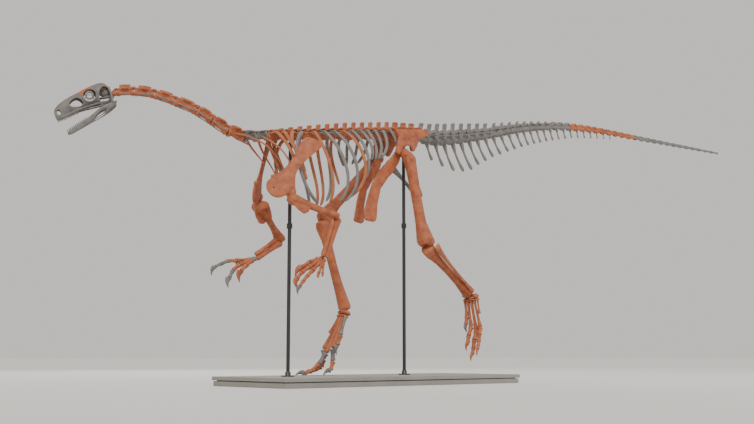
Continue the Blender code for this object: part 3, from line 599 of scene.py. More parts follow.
# ---------------------------------------------------------- back bone ------
@dataclass
class Vertebra:
    """One vertebra between two joints, with the sizes of its parts."""

    rear: Vector
    front: Vector
    radius: float
    process: float
    spine: float
    place: int

    @property
    def length(self) -> float:
        """Distance between its two joints."""
        return (self.front - self.rear).length

    @property
    def ahead(self) -> Vector:
        """Unit vector towards the head."""
        return (self.front - self.rear).normalized()

    @property
    def up(self) -> Vector:
        """Unit vector square to it, upwards."""
        up = square_to(self.ahead, Y_AXIS)[1]
        return up if up.z > 0.0 else -up

    @property
    def right(self) -> Vector:
        """Unit vector towards the animal's right side."""
        across = square_to(self.ahead, Y_AXIS)[0]
        return across if across.y > 0.0 else -across


@dataclass
class BackBone:
    """Every vertebra's place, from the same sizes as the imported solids."""

    trunk_pitch: float = 8.2
    sacrum_front: Point = (0.12, 0.0, 1.308)
    dorsal_count: int = 14
    dorsal_length: float = 0.0586
    sacral_count: int = 3
    sacral_length: float = 0.06
    sacrum_pitch: float = 5.5
    caudal_count: int = 43
    caudal_length: Table = ((1, 0.066), (12, 0.0652), (14, 0.06), (24, 0.0585), (43, 0.0565))
    tail_bend: float = 15.0
    tail_pitch: Table = (
        (0.0, -1.0), (0.03, 2.0), (0.07, 11.0), (0.26, 15.0), (0.42, 6.2), (0.5, 2.8), (0.62, -1.8),
        (0.7, -1.6), (1.0, -3.2))
    neck_yaw_step: float = 4.3
    neck_yaw_limit: float = 26.0
    cervicals: Table = ((0.064, -14.0), (0.067, -8.0), (0.087, 12.0), (0.09, 29.0), (0.082, 28.0),
                        (0.107, 19.0), (0.096, 16.0), (0.09, 4.0), (0.078, -6.0), (0.02, -13.0))
    neck_radius: Table = ((1, 0.0125), (2, 0.0155), (4, 0.0178), (6, 0.0205), (8, 0.0225), (10, 0.0235))
    neck_spine: Table = ((1, 0.02), (2, 0.04), (4, 0.038), (6, 0.04), (8, 0.042), (9, 0.036), (10, 0.03))
    neck_process: Table = ((1, 0.013), (2, 0.02), (6, 0.03), (8, 0.036), (10, 0.048))
    back_radius: Table = ((1, 0.023), (14, 0.0255))
    back_spine: Table = ((1, 0.032), (3, 0.044), (6, 0.058), (9, 0.069), (14, 0.074))
    back_process: Table = ((1, 0.052), (8, 0.06), (14, 0.056))
    sacrum_radius: float = 0.027
    sacrum_spine: float = 0.074
    sacrum_process: float = 0.0857
    tail_radius: Table = (
        (1, 0.0325), (4, 0.032), (8, 0.026), (12, 0.021), (16, 0.0178), (22, 0.0155), (32, 0.0122),
        (43, 0.0068))
    tail_spine: Table = (
        (1, 0.085), (3, 0.094), (5, 0.092), (8, 0.076), (12, 0.055), (16, 0.041), (24, 0.029), (34, 0.017),
        (43, 0.008))
    tail_process: Table = ((1, 0.066), (5, 0.05), (10, 0.03), (14, 0.018), (15, 0.01))

    def neck(self) -> list[Vertebra]:
        """The neck from the atlas back."""
        joint = self.back()[0].front
        row: list[Vertebra] = []
        for step, (length, pitch) in enumerate(self.cervicals):
            place = len(self.cervicals) - step
            nose = joint + direction(pitch, min(step * self.neck_yaw_step, self.neck_yaw_limit)) * length
            row.insert(0, Vertebra(joint, nose, blend(self.neck_radius, place),
                                   blend(self.neck_process, place), blend(self.neck_spine, place), place))
            joint = nose
        return row

    def back(self) -> list[Vertebra]:
        """The rib-bearing vertebrae from the shoulders back."""
        ahead = direction(-self.trunk_pitch, 0.0)
        joint = Vector(self.sacrum_front)
        row: list[Vertebra] = []
        for place in range(self.dorsal_count, 0, -1):
            nose = joint + ahead * self.dorsal_length
            row.insert(0, Vertebra(joint, nose, blend(self.back_radius, place),
                                   blend(self.back_process, place), blend(self.back_spine, place), place))
            joint = nose
        return row

    def sacrum(self) -> list[Vertebra]:
        """The hip vertebrae from the front back."""
        joint = Vector(self.sacrum_front)
        row: list[Vertebra] = []
        for place in range(1, self.sacral_count + 1):
            rump = joint - direction(-self.sacrum_pitch, 0.0) * self.sacral_length
            row.append(Vertebra(rump, joint, self.sacrum_radius, self.sacrum_process, self.sacrum_spine,
                                place))
            joint = rump
        return row

    def tail(self) -> list[Vertebra]:
        """The tail vertebrae from the rump back."""
        joint = self.sacrum()[-1].rear
        row: list[Vertebra] = []
        for place in range(1, self.caudal_count + 1):
            along = (place - 1) / (self.caudal_count - 1)
            heading = direction(-blend(self.tail_pitch, along), self.tail_bend * along)
            rump = joint - heading * blend(self.caudal_length, place)
            row.append(Vertebra(rump, joint, blend(self.tail_radius, place),
                                blend(self.tail_process, place), blend(self.tail_spine, place), place))
            joint = rump
        return row


@dataclass
class VertebraPattern:
    """Master vertebra of one region, modelled once and fitted to each place.

    Its own axes: X from the front joint back, Y to the right, Z up.
    """

    length: float
    radius: float
    process: float
    spine: float
    blade_length: float = 0.62  # of the spine, in lengths of the vertebra
    blade_lean: float = 0.3  # how far the spine's top lies back, in lengths
    blade_thick: float = 0.0045
    top_thick: float = 0.0065
    wing_back: float = 0.1  # sweep of the side processes, in lengths
    wing_half: float = 0.0055
    wing_lift: float = 1.02  # height of the side processes, in radii
    waist: float = 0.74
    reach: float = 0.16  # of the joint horns past the vertebra's ends
    voxel: float = 0.0032
    horns: bool = True
    wings: bool = True
    fitted: Shape | None = field(default=None, repr=False)

    def centrum(self) -> Shape:
        """The spool-shaped body with dished ends."""
        size, waist = self.radius, self.radius * self.waist
        rings = [(0.01 * self.length, 0.8 * size, 0.8 * size), (0.035 * self.length, size, size),
                 (0.14 * self.length, size * 0.98, size * 0.98), (0.3 * self.length, waist * 1.06, waist),
                 (0.5 * self.length, waist * 0.96, waist * 0.94), (0.7 * self.length, waist * 1.06, waist),
                 (0.86 * self.length, size * 0.98, size * 0.98), (0.965 * self.length, size, size),
                 (0.99 * self.length, 0.8 * size, 0.8 * size)]
        return move(draw_shell(rings, 16), seat(Vector(), Z_AXIS, Y_AXIS, X_AXIS))

    def arch(self) -> Shape:
        """The block of bone over the nerve canal."""
        low, high = 0.55 * self.radius, 1.5 * self.radius
        rings = [(low, 0.36 * self.length, 0.62 * self.radius), (0.5 * (low + high), 0.3 * self.length,
                 0.42 * self.radius), (high, 0.34 * self.length, 0.34 * self.radius)]
        return move(draw_shell(rings), Matrix.Translation((0.5 * self.length, 0.0, 0.0)))

    def blade(self) -> Shape:
        """The spine on top, thicker along its upper edge and leaning back."""
        foot, top = 1.2 * self.radius, self.spine
        half, lean = 0.5 * self.blade_length * self.length, self.blade_lean * self.length
        rings = [(foot, half * 1.05, self.blade_thick * 1.5),
                 (foot + (top - foot) * 0.35, half * 0.9, self.blade_thick, lean * 0.3),
                 (foot + (top - foot) * 0.72, half * 0.96, self.blade_thick, lean * 0.72),
                 (foot + (top - foot) * 0.9, half * 0.94, self.top_thick, lean * 0.9),
                 (foot + (top - foot) * 0.98, half * 0.7, self.top_thick * 0.8, lean * 0.98),
                 (top, half * 0.4, self.top_thick * 0.45, lean)]
        return move(draw_shell(rings), Matrix.Translation((0.48 * self.length, 0.0, 0.0)))

    def wing(self, sign: int) -> Shape:
        """The side process of one side."""
        start, end = 0.25 * self.radius, self.process
        back = self.wing_back * self.length
        rings = [(start, 0.26 * self.length, self.wing_half * 1.4),
                 (start + (end - start) * 0.45, 0.2 * self.length, self.wing_half, back * 0.4, 0.002),
                 (start + (end - start) * 0.85, 0.17 * self.length, self.wing_half * 0.95, back * 0.9,
                  0.004), (end, 0.13 * self.length, self.wing_half * 0.7, back, 0.005)]
        place = Vector((0.46 * self.length, 0.0, self.wing_lift * self.radius))
        return move(draw_shell(rings, 10), seat(place, X_AXIS, Z_AXIS, Y_AXIS * sign))

    def horn(self, sign: int, forward: bool) -> Shape:
        """A joint horn that reaches over the next vertebra."""
        tip = -self.reach if forward else 1.0 + self.reach * 0.8
        root = 0.3 if forward else 0.7
        lift = 1.1 if forward else 1.36
        out = 0.52 * self.radius
        path = [(root * self.length, sign * out * 0.6, 1.05 * self.radius),
                (0.5 * (root + tip) * self.length, sign * out, (lift + 0.05) * self.radius),
                (tip * self.length, sign * out * 1.15, (lift + 0.12) * self.radius)]
        size = 0.26 * self.radius
        return sweep(path, [(size * 1.3, size * 1.2), (size, size * 1.1), (size * 0.9, size * 0.7)], Y_AXIS)

    def build(self) -> Shape:
        """Model the master once and keep it."""
        if self.fitted is None:
            shells = [self.centrum(), self.arch(), self.blade()]
            for side in Side:
                if self.wings:
                    shells.append(self.wing(side.sign))
                if self.horns:
                    shells += [self.horn(side.sign, True), self.horn(side.sign, False)]
            self.fitted = grow_together(shells, self.voxel, 2)
            self.fitted.name = "master_vertebra"
        return self.fitted

    def fit(self, one: Vertebra) -> Shape:
        """Copy the master and fit the copy's parts to one vertebra's sizes.

        Args:
            one: The vertebra's joints and sizes.

        Returns:
            The copy, in its place.
        """
        twin = copy_of(self.build())
        along, size = one.length / self.length, one.radius / self.radius
        wide = (one.process - one.radius) / max(self.process - self.radius, 1e-6)
        tall = (one.spine - one.radius) / max(self.spine - self.radius, 1e-6)
        for vertex in twin.data.vertices:
            x, y, z = vertex.co
            over = abs(y) - self.radius
            y = y * size if over <= 0.0 else math.copysign(one.radius + over * wide, y)
            z = z * size if z <= self.radius else one.radius + (z - self.radius) * tall
            vertex.co = (x * along, y, z)
        return move(twin, seat(one.front, -one.ahead, one.right, one.up))


def master(*sizes: float, **changes: float) -> VertebraPattern:
    """A field that starts as a master vertebra of the given sizes."""
    return field(default_factory=lambda: VertebraPattern(*sizes, **changes))


@dataclass
class Neck:
    """Ten neck vertebrae with the thin ribs along their sides."""

    row: list[Vertebra]
    rib_radius: float = 0.003
    pattern: VertebraPattern = master(0.094, 0.0175, 0.027, 0.04, blade_length=0.72, blade_lean=0.02,
                                      blade_thick=0.0048, top_thick=0.006, wing_back=0.05, wing_half=0.005,
                                      waist=0.56, reach=0.13, voxel=0.0026)
    long_ribs: dict[int, Point] = field(default_factory=lambda: {
        8: (0.125, 0.03, 0.03), 9: (0.15, 0.11, 0.045), 10: (0.165, 0.17, 0.06)})
    restored: tuple[int, ...] = (9, 10)

    def atlas(self, one: Vertebra) -> Shape:
        """The short ring that carries the skull."""
        rings = [(0.0, 0.8 * one.radius, 0.9 * one.radius),
                 (0.25 * one.length, 1.05 * one.radius, 1.1 * one.radius),
                 (0.8 * one.length, 1.0 * one.radius, 1.1 * one.radius),
                 (one.length, 0.8 * one.radius, 0.9 * one.radius)]
        ring = draw_shell(rings, 16)
        arch = draw_ball((1.05 * one.radius, 0.0, 0.55 * one.length),
                         (0.5 * one.radius, 0.7 * one.radius, 0.45 * one.length))
        return move(grow_together([ring, arch], 0.002, 2), seat(one.front, one.up, one.right, -one.ahead))

    def rib(self, one: Vertebra, sign: int) -> Shape:
        """Forked at its head, then a straight rod low along the vertebra."""
        low = one.right * (sign * 0.95 * one.radius) - one.up * (0.2 * one.radius)
        far = one.right * (sign * 1.08 * one.radius) - one.up * (0.34 * one.radius)
        back = -one.ahead * one.length
        path = [one.front + back * 0.14 + low * 0.8, one.front + back * 0.2 + low * 1.15,
                one.front + back * 0.32 + far, one.front + back * 0.65 + far, one.front + back * 1.06 + far]
        size = self.rib_radius
        return sweep(path, [(2.0 * size, 1.6 * size), (1.8 * size, 1.3 * size), (1.2 * size, 1.0 * size),
                            (0.95 * size, 0.95 * size), (0.5 * size, 0.5 * size)], one.up, 6)

    def long_rib(self, one: Vertebra, sign: int) -> Shape:
        """The longer rib of a rear neck vertebra."""
        back, drop, out = self.long_ribs[one.place]
        start = one.front.lerp(one.rear, 0.34) + Vector((0.0, sign * 0.75 * one.radius, 0.0))
        path, halves = [], []
        for step in range(9):
            share = step / 8.0
            reach = out * math.sin(math.pi * 0.5 * min(share * 1.6, 1.0))
            path.append(start + Vector((back * share, sign * reach,
                                        -drop * (0.55 * share + 0.45 * share * share))))
            halves.append((0.0075 - 0.004 * share, 0.0048 - 0.002 * share))
        return sweep(path, halves, X_AXIS)

    def build(self, finishes: Finishes) -> None:
        """Model the neck and hand it in, in three lengths."""
        for name, first, last in (("neck_front", 0, 4), ("neck_middle", 4, 7), ("neck_rear", 7, 10)):
            shapes = []
            for one in self.row[first:last]:
                kind = Bone.RESTORED if one.place in self.restored else Bone.FOSSIL
                body = self.atlas(one) if one.place == 1 else self.pattern.fit(one)
                shapes.append(dress(body, finishes.bone(kind)))
                if one.place == 1:
                    continue
                long = one.place in self.long_ribs
                tone = Bone.FOSSIL if long else Bone.RESTORED
                for side in Side:
                    rib = (self.long_rib if long else self.rib)(one, side.sign)
                    shapes.append(dress(soften(rib), finishes.bone(tone)))
            hand_in(name + "_bones", shapes, (name,))
        discard(self.pattern.build())


@dataclass
class Trunk:
    """Fourteen rib-bearing vertebrae and the rib cage."""

    row: list[Vertebra]
    rib_reach: Table = ((1, 0.075), (3, 0.088), (4, 0.095), (5, 0.112), (6, 0.13), (7, 0.142), (9, 0.14),
                        (11, 0.118), (14, 0.08))
    rib_drop: Table = ((1, 0.175), (2, 0.219), (3, 0.251), (4, 0.372), (7, 0.371), (8, 0.35), (9, 0.267),
                       (10, 0.171), (13, 0.159), (14, 0.078))
    rib_sweep: Table = ((1, 95.0), (3, 120.0), (4, 140.0), (9, 140.0), (10, 125.0), (11, 105.0), (14, 80.0))
    rib_mid_back: Table = (
        (1, 0.05), (2, 0.03), (3, -0.025), (4, -0.07), (5, 0.045), (6, 0.069), (8, 0.074), (9, 0.03),
        (10, 0.007), (11, -0.007), (14, -0.009))
    rib_tip_back: Table = (
        (1, 0.11), (2, 0.1), (3, 0.05), (4, 0.07), (5, 0.077), (6, 0.071), (7, 0.047), (8, 0.025),
        (9, 0.05), (10, 0.033), (11, -0.004), (12, -0.032), (13, -0.06), (14, 0.0))
    rib_bow: Table = (
        (1, -0.02), (2, -0.08), (3, -0.1), (4, -0.02), (5, -0.15), (6, -0.23), (8, -0.19), (10, -0.08),
        (13, -0.11), (14, -0.05))
    rib_root: float = 0.026
    rib_top_angle: float = 14.0
    rib_steps: int = 18
    rib_wide: Table = (
        (0.0, 0.0075), (0.12, 0.0108), (0.45, 0.0102), (0.85, 0.0094), (0.97, 0.0085), (1.0, 0.0055))
    rib_thin: Table = ((0.0, 0.0055), (0.12, 0.0064), (0.45, 0.0058), (0.97, 0.0052), (1.0, 0.0034))
    fossil_ribs: tuple[tuple[int, ...], tuple[int, ...]] = ((1, 2, 3, 5, 8), (1, 2, 4, 6, 7, 9))
    pattern: VertebraPattern = master(0.0586, 0.0245, 0.057, 0.062, blade_length=0.6, blade_lean=0.16,
                                      reach=0.1, waist=0.78)

    def rib_path(self, one: Vertebra, sign: int) -> list[Vector]:
        """Middle line of a rib from its vertebra down round the chest."""
        head = one.front.lerp(one.rear, 0.36) + Vector((0.0, 0.0, one.radius * 1.05))
        sweep_end, first = math.radians(blend(self.rib_sweep, one.place)), math.radians(self.rib_top_angle)
        depth = blend(self.rib_drop, one.place) / (1.0 - math.cos(sweep_end))
        reach = blend(self.rib_reach, one.place)
        mid_back, tip_back = blend(self.rib_mid_back, one.place), blend(self.rib_tip_back, one.place)
        path = []
        for step in range(self.rib_steps + 1):
            share = step / self.rib_steps
            angle = first + (sweep_end - first) * share
            back = tip_back * share + (mid_back - 0.5 * tip_back) * 4.0 * share * (1.0 - share)
            back += blend(self.rib_bow, one.place) * share * (1.0 - share) * (1.0 - 2.0 * share)
            out = self.rib_root + (reach - self.rib_root) * math.sin(angle) if step else self.rib_root
            path.append(head - one.ahead * back
                        + Vector((0.0, sign * out, -depth * (1.0 - math.cos(angle)))))
        return path

    def rib(self, one: Vertebra, sign: int) -> list[Shape]:
        """A flat, curved rib and the lower fork of its head."""
        path = self.rib_path(one, sign)
        halves = [(blend(self.rib_wide, step / self.rib_steps), blend(self.rib_thin, step / self.rib_steps))
                  for step in range(self.rib_steps + 1)]
        blade = sweep(path, halves, X_AXIS)
        low = one.front.lerp(one.rear, 0.1) + Vector((0.0, sign * 0.85 * one.radius, 0.45 * one.radius))
        fork = sweep([low, low.lerp(path[2], 0.5) + Vector((0.0, 0.0, 0.002)), path[3]],
                     [(0.006, 0.006), (0.004, 0.0042), (0.005, 0.0035)], X_AXIS)
        return [blade, fork]

    def build(self, finishes: Finishes) -> None:
        """Model the trunk and hand it in: the vertebrae, then each side's ribs."""
        bodies = [dress(self.pattern.fit(one), finishes.fossil) for one in self.row]
        hand_in("trunk_vertebrae", bodies, ("trunk_left", "trunk_right"))
        discard(self.pattern.build())
        for side in Side:
            ribs = []
            for one in self.row:
                kind = Bone.FOSSIL if one.place in self.fossil_ribs[side.index] else Bone.RESTORED
                ribs += [dress(part, finishes.bone(kind)) for part in self.rib(one, side.sign)]
            hand_in("ribs_" + side.word, ribs, ("trunk_" + side.word,))


@dataclass
class Tail:
    """Forty-three tail vertebrae and the chevrons under them."""

    row: list[Vertebra]
    chevron_count: int = 26
    chevron_length: Table = (
        (1, 0.09), (2, 0.124), (3, 0.16), (4, 0.182), (5, 0.18), (6, 0.158), (8, 0.126), (12, 0.1),
        (16, 0.074), (20, 0.046), (24, 0.032), (26, 0.024))
    chevron_lean: Table = ((1, 24.0), (3, 27.0), (10, 30.0), (16, 20.0), (22, 10.0), (26, 4.0))
    chevron_shift: Table = ((1, 0.018), (12, 0.034), (18, 0.018), (26, 0.01))
    chevron_radius: Table = ((1, 0.0115), (5, 0.0125), (10, 0.011), (18, 0.0088), (26, 0.006))
    fossil: tuple[int, int] = (21, 30)
    found_chevrons: tuple[int, ...] = (24, 25)
    front: VertebraPattern = master(0.066, 0.031, 0.056, 0.084, blade_length=0.56, blade_lean=0.2,
                                    blade_thick=0.0052, top_thick=0.0085, wing_back=0.25, wing_half=0.006,
                                    wing_lift=0.45, reach=0.08, waist=0.72)
    middle: VertebraPattern = master(0.064, 0.0205, 0.026, 0.046, blade_length=0.46, blade_lean=0.38,
                                     blade_thick=0.0044, top_thick=0.0052, wing_back=0.15, wing_half=0.0045,
                                     reach=0.1, waist=0.66, voxel=0.0026)
    rear: VertebraPattern = master(0.058, 0.0145, 0.0155, 0.025, blade_length=0.46, blade_lean=0.34,
                                   blade_thick=0.0042, top_thick=0.0044, reach=0.08, waist=0.5,
                                   voxel=0.0021, wings=False)

    def pattern(self, place: int) -> VertebraPattern:
        """The master that a tail vertebra is copied from."""
        if place <= 9:
            return self.front
        return self.middle if place <= 17 else self.rear

    def chevron(self, one: Vertebra) -> Shape:
        """A Y-shaped blade under the joint behind a vertebra, curved back."""
        lean = math.radians(blend(self.chevron_lean, one.place))
        back = -one.ahead
        hang = back * math.sin(lean) + Vector((0.0, 0.0, -math.cos(lean)))
        size = blend(self.chevron_radius, one.place)
        top = one.rear + back * blend(self.chevron_shift, one.place) - Z_AXIS * (0.55 * one.radius)
        length = blend(self.chevron_length, one.place) + 0.45 * one.radius
        path, halves = [], []
        for step in range(9):
            share = step / 8.0
            bow = -0.06 * length * math.sin(math.pi * share)
            path.append(top + hang * (length * share) + back * bow)
            wide = (1.25, 1.05, 0.74, 0.6, 0.58, 0.62, 0.74, 1.02, 0.66)[step]
            halves.append((size * wide, size * wide * (1.1 if step < 3 else 0.85)))
        return sweep(path, halves, back)

    def build(self, finishes: Finishes) -> None:
        """Model the tail and hand it in, in four lengths."""
        for name, first, last in (("tail_base", 0, 10), ("tail_middle", 10, 21), ("tail_rear", 21, 32),
                                  ("tail_tip", 32, len(self.row))):
            shapes = []
            for one in self.row[first:last]:
                kind = Bone.FOSSIL if self.fossil[0] <= one.place <= self.fossil[1] else Bone.RESTORED
                shapes.append(dress(self.pattern(one.place).fit(one), finishes.bone(kind)))
                if one.place <= self.chevron_count:
                    tone = Bone.FOSSIL if one.place in self.found_chevrons else Bone.RESTORED
                    shapes.append(dress(soften(self.chevron(one)), finishes.bone(tone)))
            hand_in(name + "_bones", shapes, (name,))
        discard(self.front.build(), self.middle.build(), self.rear.build())


# --------------------------------------------------------------- limbs -----
def draw_shaft(start: Vector, end: Vector, hint: Vector, stations: tuple[Station, ...],
               sides: int = 12) -> tuple[Shape, Matrix, float]:
    """Draw a bone shaft between two joints.

    Args:
        start: The joint that the bone starts at.
        end: The joint that it ends at.
        hint: Outward direction, which its own X axis lies near.
        stations: Place along it, half size across and deep, shift across and deep (towards the tail).
        sides: Corners of its outlines.

    Returns:
        The shaft upright at the origin, the matrix that lays it in place, and its length.
    """
    along = (end - start).normalized()
    across, deep = square_to(along, hint)
    if deep.x < 0.0:
        deep = -deep
    length = (end - start).length
    rings = [(place * length, wide, thick, shift, back) for place, wide, thick, shift, back in stations]
    return draw_shell(rings, sides), seat(start, across, deep, along), length


def hand_in_digit(node: str, bones: list[Shape], casts: tuple[int, ...], finishes: Finishes) -> None:
    """Dress a finger's or toe's bones, counted outwards from 1, and hand them in."""
    shapes = [dress(bone, finishes.bone(Bone.RESTORED if count in casts else Bone.FOSSIL))
              for count, bone in enumerate(bones, start=1)]
    hand_in(node + "_bones", shapes, (node,))


@dataclass
class DigitPatterns:
    """Master bones of hands and feet: hand bone, long foot bone, toe bone and claw.

    Each is one unit long on its own Z axis and about one unit in radius.
    """

    shank: Shape | None = field(default=None, repr=False)
    instep: Shape | None = field(default=None, repr=False)
    knuckle: Shape | None = field(default=None, repr=False)
    claw: Shape | None = field(default=None, repr=False)

    def build(self) -> None:
        """Model the four masters. X is across the digit, Y its underside."""
        shaft = draw_shell([(0.01, 0.6, 0.66), (0.035, 0.9, 0.98), (0.1, 0.86, 0.94),
                            (0.24, 0.66, 0.74), (0.5, 0.58, 0.64), (0.76, 0.66, 0.68),
                            (0.9, 0.88, 0.88), (0.955, 0.94, 0.94), (0.992, 0.66, 0.66)])
        self.shank = soften(shaft)
        long = draw_shell([(0.004, 0.5, 0.72), (0.02, 0.66, 0.98), (0.08, 0.6, 0.9),
                           (0.2, 0.54, 0.7), (0.45, 0.5, 0.6), (0.72, 0.58, 0.6),
                           (0.88, 0.88, 0.84), (0.95, 1.04, 0.98), (0.992, 0.72, 0.7)])
        self.instep = soften(long)
        toe = draw_shell([(0.01, 0.72, 0.72), (0.05, 1.0, 1.02), (0.18, 0.88, 0.88),
                          (0.42, 0.66, 0.68), (0.62, 0.66, 0.66), (0.8, 0.82, 0.8, 0.0, 0.05),
                          (0.92, 0.92, 0.9, 0.0, 0.08), (0.992, 0.66, 0.62, 0.0, 0.06)])
        self.knuckle = soften(toe)
        rings = []
        for step in range(11):
            share = step / 10.0
            thin = max(1.0 - share, 0.0)
            rings.append((0.005 + 0.995 * share, 0.66 * thin ** 0.55 + 0.04, 1.06 * thin ** 0.62 + 0.04,
                          0.0, 1.15 * share * share - 0.42 * math.sin(math.pi * share)))
        self.claw = soften(draw_shell(rings))

    def lay(self, master: Shape, start: Vector, end: Vector, across: Vector,
            radius: float) -> Shape:
        """Copy a master and lay the copy between two points."""
        along = (end - start).normalized()
        side, under = square_to(along, across)
        if under.z > 0.0 or (abs(under.z) < 1e-3 and under.x < 0.0):
            under = -under
        matrix = seat(start, side * radius, under * radius, end - start)
        return move(copy_of(master), matrix)

    def chain(self, point: Vector, forward: Vector, lengths: list[float], slopes: list[float],
              radii: list[float], claw_lift: float | None) -> list[Shape]:
        """Lay the bones of a finger or a toe end to end.

        Args:
            point: Where the first bone starts.
            forward: Level direction of the digit.
            lengths: Length of each bone.
            slopes: How far each bone points down, in degrees.
            radii: Radius of each bone.
            claw_lift: Degrees that the claw is raised over its slope; None for no claw.

        Returns:
            The bones from the first to the last.
        """
        made = []
        across = forward.cross(Z_AXIS)
        for length, droop, radius in zip(lengths, slopes, radii):
            claw = claw_lift is not None and len(made) == len(lengths) - 1
            slope = math.radians(droop)
            step = self.slanted(forward, slope) * length
            aim = self.slanted(forward, slope - math.radians(claw_lift)) * length if claw else step
            made.append(self.lay(self.claw if claw else self.knuckle, point, point + aim, across, radius))
            point = point + step
        return made

    def slanted(self, forward: Vector, slope: float) -> Vector:
        """A level direction turned down by an angle in radians."""
        return forward * math.cos(slope) - Z_AXIS * math.sin(slope)

    def finish(self) -> None:
        """Remove the masters."""
        discard(self.shank, self.instep, self.knuckle, self.claw)


@dataclass
class Arm:
    """Shoulder blade, arm and hand of one side."""

    side: Side
    patterns: DigitPatterns
    glenoid: Point = (-0.649, 0.12, 0.903)
    elbows: tuple[Point, ...] = ((-0.379, -0.164, 0.809), (-0.445, 0.208, 0.718))
    wrists: tuple[Point, ...] = ((-0.415, -0.112, 0.611), (-0.607, 0.192, 0.621))
    blade_tops: tuple[Point, ...] = ((-0.503, -0.13, 1.182), (-0.6, 0.118, 1.16))
    coracoid_front: Point = (-0.73, 0.04, 0.96)
    headings: Pair = (10.0, 16.0)
    shoulder: tuple[Slice, ...] = (
        (-0.044, -0.062, -0.04, 0.004), (-0.036, -0.084, -0.022, 0.008), (-0.022, -0.102, -0.01, 0.011),
        (0.0, -0.115, 0.006, 0.012), (0.018, -0.117, 0.026, 0.015), (0.032, -0.112, 0.029, 0.014),
        (0.05, -0.102, 0.02, 0.011), (0.085, -0.082, 0.002, 0.008), (0.125, -0.062, -0.008, 0.007),
        (0.195, -0.052, 0.012, 0.006), (0.25, -0.052, 0.034, 0.005), (0.285, -0.054, 0.056, 0.0045),
        (0.308, -0.046, 0.052, 0.004), (0.318, -0.03, 0.036, 0.003))
    humerus: tuple[Station, ...] = (
        (0.0, 0.02, 0.012, 0.0, 0.0), (0.02, 0.034, 0.02, 0.0, 0.0), (0.07, 0.041, 0.028, 0.0, -0.002),
        (0.2, 0.036, 0.024, 0.0, -0.003), (0.34, 0.027, 0.02, 0.0, -0.002),
        (0.46, 0.0175, 0.0175, 0.0, 0.0), (0.64, 0.016, 0.017, 0.0, 0.0), (0.8, 0.024, 0.018, 0.0, 0.0),
        (0.91, 0.032, 0.019, 0.0, 0.0), (0.97, 0.03, 0.016, 0.0, 0.0), (0.995, 0.02, 0.009, 0.0, 0.0))
    humerus_flare: Pair = (1.0, 1.22)  # width of the upper end on each side
    humerus_faces: tuple[Point, ...] = ((0.0, -1.0, 0.0), (-0.5, 0.86, 0.0))
    ulna: tuple[Station, ...] = (
        (0.01, 0.011, 0.013, 0.0, 0.004), (0.04, 0.016, 0.021, 0.0, 0.005),
        (0.13, 0.0155, 0.021, 0.0, 0.004), (0.26, 0.0135, 0.017, 0.0, 0.004),
        (0.45, 0.012, 0.0135, 0.0, 0.006), (0.68, 0.0115, 0.0125, 0.0, 0.006),
        (0.88, 0.0135, 0.0145, 0.0, 0.005), (0.96, 0.0145, 0.015, 0.0, 0.005),
        (0.995, 0.009, 0.009, 0.0, 0.005))
    radius: tuple[Station, ...] = (
        (0.1, 0.009, 0.008, 0.0, -0.024), (0.15, 0.014, 0.0125, 0.0, -0.023),
        (0.24, 0.012, 0.0115, 0.0, -0.021), (0.5, 0.0105, 0.01, 0.0, -0.018),
        (0.75, 0.011, 0.0105, 0.0, -0.017), (0.92, 0.014, 0.013, 0.0, -0.018),
        (0.98, 0.01, 0.009, 0.0, -0.017))
    carpus_length: float = 0.022
    hand_slope: Pair = (40.0, 18.0)
    hand_roll: Pair = (0.7, -0.2)
    hand_spacing: float = 0.0158
    hand_radius: float = 0.0155
    claw_swell: float = 1.3  # claws are this much deeper than the bone behind them
    claw_lift: float = 14.0
    clawed_fingers: int = 3
    taper: float = 0.08  # lost from one bone of a finger to the next
    finger_scale: tuple[float, ...] = (1.0, 0.98, 0.92, 0.62, 0.56)
    finger_reach: tuple[tuple[float, ...], ...] = (
        (0.95, 0.92, 0.88, 1.0, 1.0), (0.84, 0.94, 1.0, 1.0, 1.0))
    bones: tuple[tuple[float, ...], ...] = (
        (0.048, 0.048, 0.066), (0.07, 0.048, 0.042, 0.052), (0.07, 0.044, 0.038, 0.032, 0.048),
        (0.05, 0.022), (0.038, 0.016))
    droops: tuple[tuple[tuple[float, ...], ...], ...] = (
        ((24.0, 30.0, 54.0), (32.0, 36.0, 50.0, 84.0), (44.0, 44.0, 50.0, 54.0, 70.0),
         (68.0, 76.0), (84.0, 92.0)),
        ((38.0, 44.0, 80.0), (22.0, 40.0, 64.0, 80.0), (6.0, 3.0, 26.0, 24.0, 66.0),
         (16.0, 34.0), (26.0, 40.0)))
    # Bones of each finger that are casts, counted from the hand outwards.
    restored: tuple[dict[int, tuple[int, ...]], ...] = (
        {3: (5,)}, {2: (3, 4), 3: (3, 4, 5), 4: (1, 2), 5: (1, 2)})

    def mirrored(self, point: Point) -> Vector:
        """A right-side point, taken to this side."""
        return Vector((point[0], point[1] * self.side.sign, point[2]))

    def shoulder_blade(self) -> Shape:
        """Shoulder blade and coracoid: a long plate with a waist, socket and hole."""
        socket, top = self.mirrored(self.glenoid), Vector(self.blade_tops[self.side.index])
        front = self.mirrored(self.coracoid_front)
        along = (top - socket).normalized()
        across, deep = square_to(along, socket - front)
        rings = [(rise, 0.5 * (back - ahead), thick, 0.5 * (ahead + back))
                 for rise, ahead, back, thick in self.shoulder]
        plate = soften(draw_shell(rings, 16))
        lip = draw_ball((0.02, 0.0, 0.014), (0.016, 0.017, 0.022))
        spine = draw_ball((-0.09, 0.0, 0.052), (0.022, 0.012, 0.014))
        whole = grow_together([plate, lip, spine], 0.003, 3)
        hole = draw_shell([(-0.04, 0.004, 0.004), (0.04, 0.004, 0.004)])
        whole = cut(whole, move(hole, seat(Vector((-0.07, 0.0, -0.004)), X_AXIS, Z_AXIS, Y_AXIS)))
        return move(whole, seat(socket, across, deep, along))

